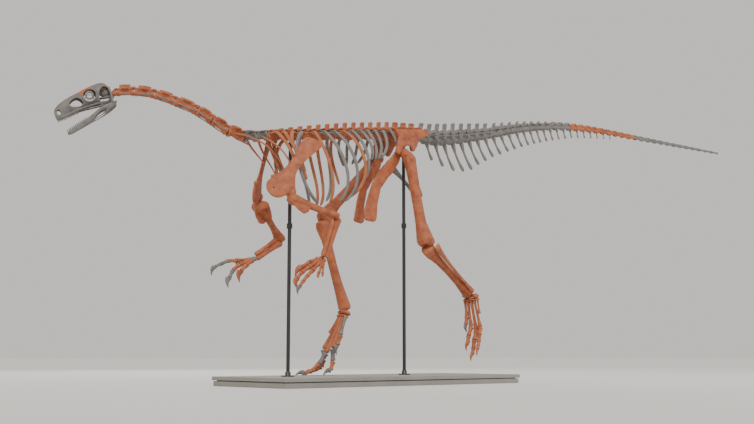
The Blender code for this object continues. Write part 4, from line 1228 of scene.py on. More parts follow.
    def upper_arm(self, start: Vector, end: Vector) -> Shape:
        """Upper arm bone with its large crest for the chest muscle."""
        face = Vector(self.humerus_faces[self.side.index])
        flare = self.humerus_flare[self.side.index]
        stations = tuple((at, wide * (flare if at < 0.4 else 1.0), *rest)
                         for at, wide, *rest in self.humerus)
        shaft, place, length = draw_shaft(start, end, face, stations)
        crest = draw_shell([(0.05 * length, 0.006, 0.01, 0.02, -0.018),
                            (0.18 * length, 0.008, 0.02, 0.022, -0.03),
                            (0.32 * length, 0.008, 0.024, 0.018, -0.034),
                            (0.41 * length, 0.007, 0.014, 0.012, -0.022)], 10)
        knobs = [draw_ball((sign * 0.016, 0.0, 0.955 * length), (0.013, 0.017, 0.013)) for sign in (-1, 1)]
        return move(grow_together([shaft, crest] + knobs, 0.0032, 3), place)

    def forearm(self, start: Vector, end: Vector, stations: tuple[Station, ...]) -> Shape:
        """Ulna or radius."""
        shaft, place, _ = draw_shaft(start, end, Y_AXIS * self.side.sign, stations)
        return move(soften(shaft), place)

    def wrist(self, wrist: Vector, hand: Vector, row: Vector) -> Shape:
        """The small cobbles of the wrist."""
        deep = hand.cross(row)
        stones = []
        for place, (along, across, size) in enumerate(((0.3, -0.016, 0.0105), (0.3, 0.01, 0.0095),
                                                       (0.76, -0.024, 0.01), (0.8, -0.006, 0.0105),
                                                       (0.8, 0.012, 0.0085), (0.76, 0.026, 0.007))):
            centre = wrist + hand * (along * (self.carpus_length + 0.008)) + row * across
            stone = draw_ball(ORIGIN, (size * 1.2, size * (0.95 + 0.08 * (place % 3)), size * 1.1))
            stones.append(move(soften(stone), seat(centre, row, hand, deep)))
        return join(stones)

    def finger(self, number: int, start: Vector, forward: Vector) -> list[Shape]:
        """One finger from the hand outwards: hand bone, finger bones and claw."""
        reach = self.finger_reach[self.side.index][number - 1]
        radius = self.hand_radius * self.finger_scale[number - 1]
        lengths = [length * reach for length in self.bones[number - 1]]
        slopes = self.droops[self.side.index][number - 1]
        radii = [radius * (1.0 - self.taper * step) for step in range(len(lengths))]
        clawed = number <= self.clawed_fingers
        if clawed:
            radii[-1] *= self.claw_swell
        palm = self.patterns.slanted(forward, math.radians(slopes[0])) * lengths[0]
        made = [self.patterns.lay(self.patterns.shank, start, start + palm, forward.cross(Z_AXIS),
                                  radii[0])]
        return made + self.patterns.chain(start + palm, forward, lengths[1:], slopes[1:], radii[1:],
                                          self.claw_lift if clawed else None)

    def build(self, finishes: Finishes) -> None:
        """Model the arm and hand it in bone by bone."""
        word, index = self.side.word, self.side.index
        socket = self.mirrored(self.glenoid)
        drop = socket + Vector((0.004, self.side.sign * 0.004, -0.018))
        elbow, wrist = Vector(self.elbows[index]), Vector(self.wrists[index])
        forward = direction(0.0, self.headings[index])
        spread = Vector((forward.y, -forward.x, 0.0)) * self.side.sign
        slope = math.radians(self.hand_slope[index])
        hand = forward * math.cos(slope) - Z_AXIS * math.sin(slope)
        row = (spread - Z_AXIS * self.hand_roll[index]).normalized()
        for name, shape, kind in (
                ("scapulocoracoid_", self.shoulder_blade(), Bone.FOSSIL),
                ("humerus_", self.upper_arm(drop, elbow), Bone.FOSSIL),
                ("ulna_", self.forearm(elbow, wrist, self.ulna), Bone.FOSSIL),
                ("radius_", self.forearm(elbow, wrist, self.radius), Bone.FOSSIL),
                ("wrist_", self.wrist(wrist, hand, row), Bone.FOSSIL if index == 0 else Bone.RESTORED)):
            hand_in(name + word + "_bone", [dress(shape, finishes.bone(kind))], (name + word,))
        palm = wrist + hand * self.carpus_length
        for number in range(1, 6):
            start = palm + hand * (0.6 * self.hand_radius) + row * ((number - 3) * self.hand_spacing)
            ahead = (forward + spread * ((number - 3) * 0.08)).normalized()
            hand_in_digit("hand_%s_digit_%d" % (word, number), self.finger(number, start, ahead),
                          self.restored[index].get(number, ()), finishes)


@dataclass
class Pelvis:
    """Hip vertebrae and the three hip bones of each side."""

    row: list[Vertebra]
    hip: Point = (0.12, 0.11, 1.19)
    ilium_y: float = 0.096
    pubis_path: tuple[Point, ...] = (
        (0.094, 0.08, 1.2), (0.086, 0.07, 1.166), (0.056, 0.06, 1.122), (0.012, 0.055, 1.076),
        (-0.03, 0.05, 1.014), (-0.056, 0.046, 0.926), (-0.067, 0.044, 0.85), (-0.07, 0.044, 0.826))
    pubis_half: tuple[Pair, ...] = (
        (0.02, 0.01), (0.029, 0.01), (0.033, 0.009), (0.034, 0.008), (0.031, 0.008), (0.035, 0.009),
        (0.041, 0.012), (0.032, 0.01))
    ischium_top: Point = (0.166, 0.082, 1.19)
    ischium_ends: tuple[Point, ...] = ((0.302, 0.04, 0.994), (0.3, 0.04, 1.042))
    ischium_half: tuple[Slice, ...] = (
        (0.0, -0.016, 0.012, 0.007), (0.012, -0.026, 0.02, 0.011), (0.045, -0.034, 0.016, 0.008),
        (0.085, -0.018, 0.012, 0.007), (0.13, -0.011, 0.01, 0.007), (0.18, -0.01, 0.01, 0.008),
        (0.222, -0.014, 0.014, 0.01), (0.24, -0.012, 0.012, 0.009), (0.247, -0.006, 0.006, 0.004))
    pattern: VertebraPattern = master(0.06, 0.027, 0.084, 0.074, blade_length=0.8, blade_lean=0.1,
                                      wing_half=0.013, wing_back=0.0, reach=0.04, waist=0.82,
                                      top_thick=0.0075)

    def hip_blade(self, side: Side) -> Shape:
        """Ilium: a blade with a long rear end, two feet and the arch between them."""
        rings = []
        for ahead, low, high, thick in ((-0.054, 0.116, 0.129, 0.004), (-0.044, 0.104, 0.133, 0.007),
                                        (-0.02, 0.084, 0.138, 0.008), (0.015, 0.058, 0.142, 0.009),
                                        (0.05, 0.05, 0.148, 0.009), (0.085, 0.064, 0.152, 0.008),
                                        (0.12, 0.092, 0.157, 0.008), (0.155, 0.112, 0.161, 0.008),
                                        (0.176, 0.122, 0.158, 0.007), (0.188, 0.134, 0.148, 0.004)):
            bow = 0.01 * math.sin(math.pi * (ahead + 0.054) / 0.242)
            rings.append((ahead, 0.5 * (high - low), thick, 0.5 * (high + low), -bow))
        blade = move(soften(draw_shell(rings, 14)), seat(Vector(), Z_AXIS, Y_AXIS, X_AXIS))
        front_foot = sweep([(0.012, 0.0, 0.094), (-0.012, 0.001, 0.064), (-0.028, 0.002, 0.034),
                            (-0.039, 0.002, 0.01), (-0.044, 0.002, -0.003)],
                           [(0.04, 0.009), (0.033, 0.011), (0.026, 0.013), (0.021, 0.015), (0.013, 0.011)],
                           X_AXIS, 12)
        rear_foot = sweep([(0.078, 0.0, 0.092), (0.07, 0.001, 0.062), (0.062, 0.001, 0.036),
                           (0.06, 0.001, 0.026)],
                          [(0.036, 0.009), (0.027, 0.012), (0.018, 0.014), (0.011, 0.01)], X_AXIS, 12)
        roof = sweep([(-0.036, 0.006, 0.026), (-0.014, 0.014, 0.05), (0.014, 0.018, 0.06),
                      (0.04, 0.014, 0.054), (0.054, 0.006, 0.038)],
                     [(0.006, 0.006), (0.009, 0.012), (0.01, 0.014), (0.009, 0.011), (0.005, 0.005)],
                     Y_AXIS)
        whole = grow_together([blade, front_foot, rear_foot, roof], 0.0034, 4)
        place = Vector((self.hip[0], side.sign * self.ilium_y, self.hip[2]))
        return move(whole, seat(place, X_AXIS, Y_AXIS * side.sign, Z_AXIS))

    def pubis(self, side: Side) -> Shape:
        """Pubis: a broad plate above, a flat apron and a knob at the foot."""
        mirror = Vector((1.0, side.sign, 1.0))
        points = [Vector(point) * mirror for point in self.pubis_path]
        face = Vector((0.97, 0.2, 0.0)) * mirror
        path, halves = [], []
        for index in range(len(points) - 1):
            for step in range(3):
                share = step / 3.0
                path.append(points[index].lerp(points[index + 1], share))
                first, last = self.pubis_half[index], self.pubis_half[index + 1]
                halves.append(tuple(first[axis] + (last[axis] - first[axis]) * share for axis in range(2)))
        path.append(points[-1])
        halves.append((self.pubis_half[-1][0] * 0.8, self.pubis_half[-1][1] * 0.7))
        plate = sweep(path, halves, face, 12)
        foot = draw_ball(points[-2].lerp(points[-1], 0.4), (0.038, 0.013, 0.015))
        return grow_together([plate, foot], 0.0034, 4)

    def ischium(self, side: Side) -> Shape:
        """Ischium: a plate at the hip and a rod with a swollen end."""
        mirror = Vector((1.0, side.sign, 1.0))
        top, end = Vector(self.ischium_top) * mirror, Vector(self.ischium_ends[side.index])
        end.y *= side.sign
        along = (end - top).normalized()
        across, deep = square_to(along, Vector((1.0, -0.35 * side.sign, 0.0)))
        rings = [(rise, 0.5 * (back - ahead), thick, 0.5 * (ahead + back))
                 for rise, ahead, back, thick in self.ischium_half]
        return move(soften(draw_shell(rings)), seat(top, across, deep, along))

    def build(self, finishes: Finishes) -> None:
        """Model the pelvis and hand it in."""
        bodies = [dress(self.pattern.fit(one), finishes.fossil) for one in self.row]
        hand_in("sacrum_bones", bodies, ("sacrum",))
        discard(self.pattern.build())
        for side in Side:
            for name, shape, kind in (("ilium_", self.hip_blade(side), Bone.FOSSIL),
                                      ("pubis_", self.pubis(side), Bone.FOSSIL),
                                      ("ischium_", self.ischium(side), Bone.RESTORED)):
                hand_in(name + side.word + "_bone", [dress(shape, finishes.bone(kind))],
                        (name + side.word,))


@dataclass
class Leg:
    """Thigh, shin, ankle and foot of one side."""

    side: Side
    patterns: DigitPatterns
    base_top: float
    hip: Point = (0.12, 0.11, 1.19)
    knees: tuple[Point, ...] = ((0.2, -0.18, 0.703), (-0.262, 0.118, 0.834))
    ankles: tuple[Point, ...] = ((0.602, -0.104, 0.478), (-0.112, 0.1, 0.371))
    foot_joints: tuple[Point, ...] = ((0.65, -0.112, 0.2495), (-0.216, 0.124, 0.157))
    headings: Pair = (-17.0, 13.0)
    femur: tuple[Station, ...] = (
        (-0.045, 0.012, 0.014, -0.004, 0.0), (-0.03, 0.022, 0.022, -0.004, 0.0),
        (0.0, 0.034, 0.028, 0.004, 0.0), (0.06, 0.038, 0.031, 0.018, 0.002),
        (0.14, 0.032, 0.03, 0.018, 0.003), (0.3, 0.027, 0.029, 0.013, 0.003),
        (0.42, 0.027, 0.028, 0.009, 0.002), (0.55, 0.026, 0.028, 0.005, 0.002),
        (0.74, 0.029, 0.029, 0.0, 0.0), (0.86, 0.042, 0.037, 0.0, 0.002), (0.93, 0.049, 0.042, 0.0, 0.004),
        (0.975, 0.042, 0.036, 0.0, 0.004))
    tibia: tuple[Station, ...] = (
        (0.012, 0.026, 0.024, -0.004, 0.004), (0.03, 0.037, 0.036, -0.004, 0.003),
        (0.075, 0.036, 0.036, -0.004, 0.001), (0.16, 0.026, 0.03, -0.004, -0.002),
        (0.3, 0.021, 0.024, -0.003, 0.0), (0.5, 0.019, 0.021, -0.003, 0.0),
        (0.72, 0.022, 0.023, -0.003, 0.0), (0.88, 0.031, 0.029, -0.004, 0.0),
        (0.96, 0.036, 0.033, -0.004, 0.0), (0.992, 0.027, 0.025, -0.004, 0.0))
    fibula: tuple[Station, ...] = (
        (0.04, 0.006, 0.014, 0.047, 0.02), (0.055, 0.009, 0.024, 0.047, 0.02),
        (0.11, 0.009, 0.02, 0.042, 0.018), (0.2, 0.0075, 0.014, 0.039, 0.015),
        (0.4, 0.0068, 0.009, 0.035, 0.01), (0.65, 0.0068, 0.009, 0.033, 0.006),
        (0.85, 0.0075, 0.01, 0.033, 0.004), (0.935, 0.0095, 0.015, 0.035, 0.004),
        (0.962, 0.006, 0.01, 0.035, 0.004))
    ankle_length: float = 0.034
    bones: tuple[tuple[float, ...], ...] = (
        (0.112, 0.056, 0.048), (0.19, 0.064, 0.048, 0.052), (0.218, 0.068, 0.052, 0.042, 0.05),
        (0.196, 0.052, 0.04, 0.034, 0.028, 0.044), (0.098,))
    droops: tuple[tuple[float, ...], ...] = ((60.0, 78.0, 62.0, 58.0, 64.0), (56.0, 42.0, 14.0, 8.0, 12.0))
    toe_scales: Pair = (0.84, 1.0)
    root_spacing: float = 0.0195
    spreads: Pair = (0.03, 0.055)
    fans: Pair = (0.13, 0.2)
    tip_clearance: float = 0.42
    radii: tuple[float, ...] = (0.0125, 0.0138, 0.0145, 0.0132, 0.009)
    toe_swell: float = 1.18  # toe bones against the long foot bones
    taper: float = 0.08  # lost from one bone of a toe to the next
    claw_lift: float = 12.0
    standing_toes: tuple[int, ...] = (2, 3, 4)
    first_toe_bend: float = 14.0
    instep_scales: Pair = (0.88, 1.0)
    restored: tuple[dict[int, tuple[int, ...]], ...] = (
        {1: (3,)}, {1: (1, 3), 2: (2, 4), 3: (2, 5), 4: (2, 6)})

    def thigh(self, start: Vector, end: Vector) -> Shape:
        """Thigh bone: inturned head, shelf, crest behind and two knuckles."""
        shaft, place, length = draw_shaft(start, end, Y_AXIS * self.side.sign, self.femur, 14)
        head = draw_ball((-0.006, 0.0, -0.006), (0.03, 0.026, 0.026))
        crest = draw_shell([(0.33 * length, 0.004, 0.008, 0.006, 0.024),
                            (0.38 * length, 0.006, 0.014, 0.006, 0.034),
                            (0.44 * length, 0.006, 0.014, 0.006, 0.036),
                            (0.49 * length, 0.004, 0.008, 0.006, 0.024)], 10)
        shelf = draw_ball((0.03, -0.014, 0.075 * length), (0.012, 0.018, 0.03))
        knuckles = [draw_ball((sign * 0.023, 0.012, 0.955 * length), (0.022, 0.032, 0.024))
                    for sign in (-1, 1)]
        return move(grow_together([shaft, head, crest, shelf] + knuckles, 0.0042, 4), place)

    def shin(self, start: Vector, end: Vector) -> Shape:
        """Shin bone with the crest on its front below the knee."""
        shaft, place, length = draw_shaft(start, end, Y_AXIS * self.side.sign, self.tibia, 14)
        crest = draw_shell([(0.02 * length, 0.008, 0.01, 0.0, -0.026),
                            (0.08 * length, 0.01, 0.014, 0.0, -0.03),
                            (0.17 * length, 0.008, 0.014, 0.0, -0.022),
                            (0.26 * length, 0.006, 0.008, 0.0, -0.014)], 10)
        ledge = draw_ball((0.006, 0.01, 0.975 * length), (0.024, 0.02, 0.012))
        return move(grow_together([shaft, crest, ledge], 0.004, 4), place)

    def splint(self, start: Vector, end: Vector) -> Shape:
        """The thin outer shin bone."""
        shaft, place, _ = draw_shaft(start, end, Y_AXIS * self.side.sign, self.fibula)
        return move(soften(shaft), place)

    def ankle(self, ankle: Vector, instep: Vector, spread: Vector) -> Shape:
        """Ankle bones: two rollers on the shin and three flat ones below."""
        deep = instep.cross(spread)
        length = self.ankle_length
        stones = []
        for along, across, size in ((0.3, -0.014, (0.036, 0.015, 0.028)),
                                    (0.34, 0.032, (0.021, 0.014, 0.021)),
                                    (0.92, -0.024, (0.022, 0.0085, 0.02)),
                                    (0.9, 0.01, (0.024, 0.0085, 0.021)),
                                    (0.88, 0.038, (0.016, 0.008, 0.017))):
            stone = soften(draw_ball(ORIGIN, size))
            stones.append(move(stone, seat(ankle + instep * (along * length) + spread * across, spread,
                                           instep, deep)))
        return join(stones)

    def settle(self, bones: list[float], droops: list[float], drop: float) -> list[float]:
        """Scale the slopes of a toe's bones until the toe comes down by a height."""
        low, high = 0.0, 2.0
        for _ in range(40):
            scale = 0.5 * (low + high)
            fall = sum(length * math.sin(math.radians(slope * scale))
                       for length, slope in zip(bones, droops))
            low, high = (scale, high) if fall < drop else (low, scale)
        return [slope * scale for slope in droops]

    def toe(self, number: int, start: Vector, end: Vector, forward: Vector,
            instep_slope: float) -> list[Shape]:
        """One long foot bone with its toe bones and claw."""
        radius = self.radii[number - 1]
        lengths = [length * self.toe_scales[self.side.index] for length in self.bones[number - 1][1:]]
        slopes = list(self.droops[self.side.index][:len(lengths)])
        if self.side is Side.RIGHT and number in self.standing_toes:
            slopes = self.settle(lengths, slopes, end.z - self.base_top - self.tip_clearance * radius)
        if number == 1:
            slopes = [instep_slope, instep_slope + self.first_toe_bend]
        radii = [radius * self.toe_swell * (1.0 - self.taper * step) for step in range(len(lengths))]
        long_bone = self.patterns.lay(self.patterns.instep, start, end, forward.cross(Z_AXIS), radius)
        return [long_bone] + self.patterns.chain(end, forward, lengths, slopes, radii, self.claw_lift)

    def build(self, finishes: Finishes) -> None:
        """Model the leg and hand it in bone by bone."""
        word, index, sign = self.side.word, self.side.index, self.side.sign
        hip = Vector((self.hip[0], self.hip[1] * sign, self.hip[2]))
        knee, ankle = Vector(self.knees[index]), Vector(self.ankles[index])
        foot = ankle.lerp(Vector(self.foot_joints[index]), self.instep_scales[index])
        instep = (foot - ankle).normalized()
        forward = direction(0.0, self.headings[index])
        spread = Vector((forward.y, -forward.x, 0.0)) * sign
        for name, shape in (("femur_", self.thigh(hip, knee)), ("tibia_", self.shin(knee, ankle)),
                            ("fibula_", self.splint(knee, ankle)),
                            ("ankle_", self.ankle(ankle, instep, spread))):
            hand_in(name + word + "_bone", [dress(shape, finishes.fossil)], (name + word,))
        roots = ankle + instep * self.ankle_length
        instep_slope = math.degrees(math.asin(-instep.z))
        for number, bones in enumerate(self.bones, start=1):
            start = roots + spread * ((number - 2.9) * self.root_spacing)
            reach = bones[0] / self.bones[2][0]
            apart = self.spreads[index] * (0.35 + 0.65 * reach)
            end = roots + (foot - roots) * reach + spread * ((number - 3) * apart)
            ahead = (forward + spread * ((number - 3) * self.fans[index])).normalized()
            hand_in_digit("foot_%s_digit_%d" % (word, number),
                          self.toe(number, start, end, ahead, instep_slope),
                          self.restored[index].get(number, ()), finishes)


# ---------------------------------------------------------------- head -----
# Columns of the skull's sections that are read one by one.
LOW, WIDE = 2, 3


@dataclass
class Head:
    """Skull with its openings, eye rings, braincase and teeth, and the lower jaw.

    Its own axes: X across, Y up, Z ahead from the neck joint.
    """

    atlas: Vertebra
    pitch: float = -18.5
    yaw: float = 26.0
    drop: float = 0.018
    sections: tuple[Slice, ...] = (
        (0.002, 0.044, -0.02, 0.026), (0.014, 0.07, -0.022, 0.036), (0.036, 0.08, -0.02, 0.043),
        (0.068, 0.077, -0.019, 0.047), (0.1, 0.072, -0.02, 0.043), (0.138, 0.061, -0.021, 0.035),
        (0.18, 0.052, -0.025, 0.028), (0.214, 0.042, -0.032, 0.023), (0.244, 0.028, -0.037, 0.018),
        (0.262, 0.014, -0.04, 0.012), (0.269, 0.002, -0.03, 0.006))
    wall: float = 0.0065
    window_ease: float = 1.2  # makes up for what rounding the corners takes off
    voxel: float = 0.0019
    orbit: Pair = (0.1, 0.029)
    orbit_radius: float = 0.028
    orbit_rim: float = 0.0305
    eye_ring_x: float = 0.0352
    # Middle radius and half width of the near and the far ring: the far one is
    # narrower, so that the near one looks open.
    eye_rings: tuple[Pair, Pair] = ((0.0162, 0.0046), (0.0196, 0.0014))
    nostril: Pair = (0.248, -0.007)
    nostril_half: Pair = (0.0125, 0.008)
    snout_opening: Outline = (
        (0.193, 0.019), (0.158, 0.036), (0.139, 0.012), (0.146, -0.004), (0.184, 0.001))
    cheek_opening: Outline = ((0.046, 0.044), (0.024, 0.05), (0.014, 0.03), (0.02, -0.006), (0.054, -0.008),
                              (0.06, 0.006))
    frontal_patch: Outline = ((0.088, 0.09), (0.086, 0.052), (0.1, 0.05), (0.126, 0.036), (0.144, 0.046),
                              (0.142, 0.09))
    patch_edge: float = 0.012  # the found piece ends this far past the middle
    jaw_pitch: float = -37.3
    jaw_length: float = 0.245
    jaw_spread: float = 0.036
    jaw_sections: tuple[Slice, ...] = (
        (-0.014, 0.003, -0.004, 0.0025), (-0.008, 0.006, -0.008, 0.0045), (0.01, 0.008, -0.014, 0.0055),
        (0.04, 0.019, -0.017, 0.0055), (0.06, 0.021, -0.018, 0.005), (0.085, 0.015, -0.017, 0.0048),
        (0.13, 0.011, -0.014, 0.0048), (0.19, 0.01, -0.012, 0.0048), (0.232, 0.01, -0.011, 0.005),
        (0.244, 0.007, -0.008, 0.004), (0.248, 0.002, -0.003, 0.002))
    jaw_opening: Outline = ((0.11, -0.007), (0.09, 0.001), (0.062, 0.004), (0.044, -0.002), (0.06, -0.009),
                            (0.09, -0.011))
    chin_half: float = 0.003
    upper_teeth: tuple[int, float, float] = (14, 0.17, 0.092)  # count, start and run ahead
    lower_teeth: tuple[int, float, float] = (13, 0.14, 0.1)
    tooth_rake: float = -0.1
    tooth: Shape | None = field(default=None, repr=False)

    def window(self, outline: Outline, near: float, far: float) -> Shape:
        """A cutter with rounded corners that reaches from one X to another."""
        corners = [Vector(point) for point in outline]
        middle = sum(corners, Vector((0.0, 0.0))) / len(corners)
        corners = [middle + (point - middle) * self.window_ease for point in corners]
        for _ in range(3):
            cutoff = []
            for index, point in enumerate(corners):
                after = corners[(index + 1) % len(corners)]
                cutoff += [point.lerp(after, 0.25), point.lerp(after, 0.75)]
            corners = cutoff
        work = bmesh.new()
        verts = [work.verts.new((near, up, ahead)) for ahead, up in corners]
        face = work.faces.new(verts)
        pushed = bmesh.ops.extrude_face_region(work, geom=[face])
        moved = [item for item in pushed["geom"] if isinstance(item, bmesh.types.BMVert)]
        bmesh.ops.translate(work, verts=moved, vec=(far - near, 0.0, 0.0))
        return add_mesh("window", work)

    def section(self, ahead: float, column: int) -> float:
        """Top, bottom or half width of the skull at a distance ahead."""
        return blend(tuple((row[0], row[column]) for row in self.sections), ahead)

    def shell(self) -> Shape:
        """The skull's bony wall with every opening through it."""
        rings = [(ahead, wide * 1.06, 0.53 * (top - low), 0.0, 0.5 * (top + low))
                 for ahead, top, low, wide in self.sections]
        whole = soften(draw_shell(rings, 20))
        apply_modifier(whole, "SOLIDIFY", thickness=self.wall, offset=-1.0, use_even_offset=False)
        for (ahead, up), half_up, half_ahead, sides in ((self.orbit, self.orbit_radius, self.orbit_radius,
                                                         32), (self.nostril, *self.nostril_half, 20)):
            bore = draw_shell([(-0.06, half_up, half_ahead), (0.06, half_up, half_ahead)], sides)
            whole = cut(whole, move(bore, seat(Vector((0.0, up, ahead)), Y_AXIS, Z_AXIS, X_AXIS)))
        whole = cut(whole, self.window(self.snout_opening, -0.06, 0.06))
        whole = cut(whole, self.window(self.cheek_opening, -0.07, 0.07))
        for sign in (-1, 1):
            pit = draw_ball((sign * 0.019, 0.082, 0.04), (0.0115, 0.022, 0.019))
            whole = cut(whole, pit)
        mouth = [(0.05, 0.024, 0.018), (0.11, 0.025, 0.018), (0.17, 0.015, 0.018), (0.215, 0.008, 0.016)]
        whole = cut(whole, move(draw_shell(mouth, 16), Matrix.Translation((0.0, -0.024, 0.0))))
        return whole

    def rims(self) -> list[Shape]:
        """Raised edges of the eye sockets, cheek bars and tooth rows."""
        parts = []
        for sign in (-1, 1):
            path, halves = [], []
            for step in range(19):
                angle = 2.0 * math.pi * step / 18.0
                ahead = self.orbit[0] + self.orbit_rim * math.cos(angle)
                up = self.orbit[1] + self.orbit_rim * math.sin(angle)
                lean = 0.043 - 0.16 * (ahead - self.orbit[0]) - 0.0085 * max(math.sin(angle), 0.0) ** 2
                path.append((sign * lean, up, ahead))
                halves.append((0.0042, 0.0036))
            parts.append(sweep(path, halves, X_AXIS))
            low = [(sign * self.section(ahead, WIDE) * 0.86, self.section(ahead, LOW) + 0.004, ahead)
                   for ahead in (0.03, 0.06, 0.1, 0.14, 0.18, 0.214, 0.244, 0.26)]
            parts.append(sweep(low, [(0.0038, 0.0036)] * len(low), Y_AXIS))
            quadrate = [(sign * 0.036, 0.046, 0.01), (sign * 0.038, 0.012, 0.006),
                        (sign * 0.036, -0.016, 0.01), (sign * 0.036, -0.026, 0.012)]
            parts.append(sweep(quadrate, [(0.006, 0.0045), (0.0048, 0.0045), (0.0055, 0.006),
                                          (0.005, 0.007)], Z_AXIS))
        return parts

    def inside(self) -> list[Shape]:
        """Braincase, roof of the mouth and the thin rod between the eyes."""
        brain = draw_ball((0.0, 0.034, 0.03), (0.016, 0.022, 0.028))
        knob = draw_ball((0.0, 0.004, 0.002), (0.009, 0.008, 0.008))
        neck = sweep([(0.0, 0.004, 0.002), (0.0, 0.012, 0.024), (0.0, 0.01, 0.06), (0.0, 0.006, 0.115)],
                     [(0.008, 0.008), (0.01, 0.01), (0.0045, 0.005), (0.0025, 0.003)], Y_AXIS)
        parts = [brain, knob, neck]
        for sign in (-1, 1):
            roof = [(sign * 0.024, -0.01, 0.04), (sign * 0.01, -0.006, 0.07),
                    (sign * 0.006, -0.004, 0.12), (sign * 0.005, -0.012, 0.215)]
            parts.append(sweep(roof, [(0.006, 0.002), (0.006, 0.002), (0.004, 0.002), (0.003, 0.002)],
                               X_AXIS))
        return parts

    def eye_ring(self, sign: int) -> Shape:
        """The ring of thin overlapping plates inside an eye socket."""
        middle, half = self.eye_rings[0 if sign < 0 else 1]
        path, halves = [], []
        for step in range(43):
            angle = 2.0 * math.pi * step / 42.0
            outward = Vector((0.0, math.sin(angle), math.cos(angle)))
            lap = (step % 3) / 2.0
            path.append(Vector((sign * (self.eye_ring_x + 0.0008 * lap), self.orbit[1], self.orbit[0]))
                        + outward * middle)
            halves.append((0.0009, half + 0.0003 * lap))
        return sweep(path, halves, X_AXIS)

    def teeth(self, upper: bool) -> list[Shape]:
        """A row of leaf-shaped teeth down each side, copied from one tooth."""
        if self.tooth is None:
            self.tooth = soften(draw_shell([(-0.003, 0.0012, 0.0014), (0.0005, 0.0014, 0.0018),
                                            (0.0035, 0.0016, 0.0025), (0.0065, 0.0011, 0.0018),
                                            (0.0092, 0.0004, 0.0005)], 8))
        made = []
        count, start, run = self.upper_teeth if upper else self.lower_teeth
        rise = Vector((0.0, -1.0 if upper else 1.0, self.tooth_rake)).normalized()
        side, fore = square_to(rise, X_AXIS)
        for sign in (-1, 1):
            for step in range(count):
                share = step / (count - 1)
                size = 1.0 - 0.22 * abs(share - 0.7)
                ahead = start + run * share
                if upper:
                    wide, up = self.section(ahead, WIDE) * 0.84, self.section(ahead, LOW) + 0.0015
                else:
                    wide, up = self.jaw_half(ahead), 0.0105
                centre = Vector((sign * wide, up, ahead))
                made.append(move(copy_of(self.tooth), seat(centre, side * size, fore * size, rise * size)))
        return made

    def jaw_half(self, ahead: float) -> float:
        """Distance of a ramus of the lower jaw from the middle."""
        return self.jaw_spread + (self.chin_half - self.jaw_spread) * ahead / self.jaw_length

    def jaw(self) -> Shape:
        """Both rami of the lower jaw, joined at the chin."""
        parts = []
        for sign in (-1, 1):
            rings = []
            for ahead, top, low, thick in self.jaw_sections:
                wide = self.jaw_half(max(ahead, 0.0))
                rings.append((ahead, thick, 0.5 * (top - low), sign * wide, 0.5 * (top + low)))
            parts.append(soften(draw_shell(rings)))
            parts.append(draw_ball((sign * self.jaw_spread, 0.002, -0.001), (0.0085, 0.006, 0.009)))
        whole = grow_together(parts, self.voxel, 2)
        return cut(whole, self.window(self.jaw_opening, -0.06, 0.06))

    def paint_patch(self, whole: Shape, fossil: bpy.types.Material, restored: bpy.types.Material) -> Shape:
        """Give the found piece of the brow the fossil's finish, the rest the cast's."""
        whole.data.materials.clear()
        whole.data.materials.append(restored)
        whole.data.materials.append(fossil)
        outline = self.frontal_patch
        for face in whole.data.polygons:
            if face.center.x > self.patch_edge:
                continue
            ahead, up = face.center.z, face.center.y
            # A ragged edge, as a broken piece has.
            ahead += 0.0016 * math.sin(up * 900.0) + 0.0012 * math.sin(face.center.x * 700.0)
            inside = False
            for first, last in zip(outline, outline[1:] + outline[:1]):
                if (first[1] > up) != (last[1] > up):
                    edge = first[0] + (last[0] - first[0]) * (up - first[1]) / (last[1] - first[1])
                    inside = inside != (ahead < edge)
            face.material_index = 1 if inside else 0
        return whole

    def build(self, finishes: Finishes) -> None:
        """Model the skull and lower jaw and hand them in."""
        ahead = direction(self.pitch, self.yaw)
        across = -direction(0.0, self.yaw - 90.0)
        up = across.cross(ahead)
        joint = self.atlas.front + ahead * 0.0006 - up * self.drop
        place = seat(joint, across, up, ahead)
        bony = grow_together([self.shell()] + self.rims(), self.voxel, 2)
        shapes = [self.paint_patch(bony, finishes.fossil, finishes.restored)]
        core = self.inside()
        shapes.append(dress(grow_together(core[:2], self.voxel, 2), finishes.restored))
        found = draw_ball((0.0, 0.046, 0.026), (0.0175, 0.011, 0.014))
        shapes.append(dress(soften(found), finishes.fossil))
        shapes += [dress(soften(part), finishes.restored) for part in core[2:]]
        shapes += [dress(self.eye_ring(sign), finishes.restored) for sign in (-1, 1)]
        shapes += [dress(tooth, finishes.restored) for tooth in self.teeth(True)]
        hand_in("skull_bone", [move(shape, place) for shape in shapes], ("skull",))
        chin = direction(self.jaw_pitch, self.yaw)
        hinge = joint + ahead * 0.004 - up * 0.03
        jaw_place = seat(hinge, across, across.cross(chin), chin)
        parts = [dress(self.jaw(), finishes.restored)] + [dress(tooth, finishes.restored)
                                                          for tooth in self.teeth(False)]
        hand_in("lower_jaw_bone", [move(part, jaw_place) for part in parts], ("lower_jaw",))
        discard(self.tooth)


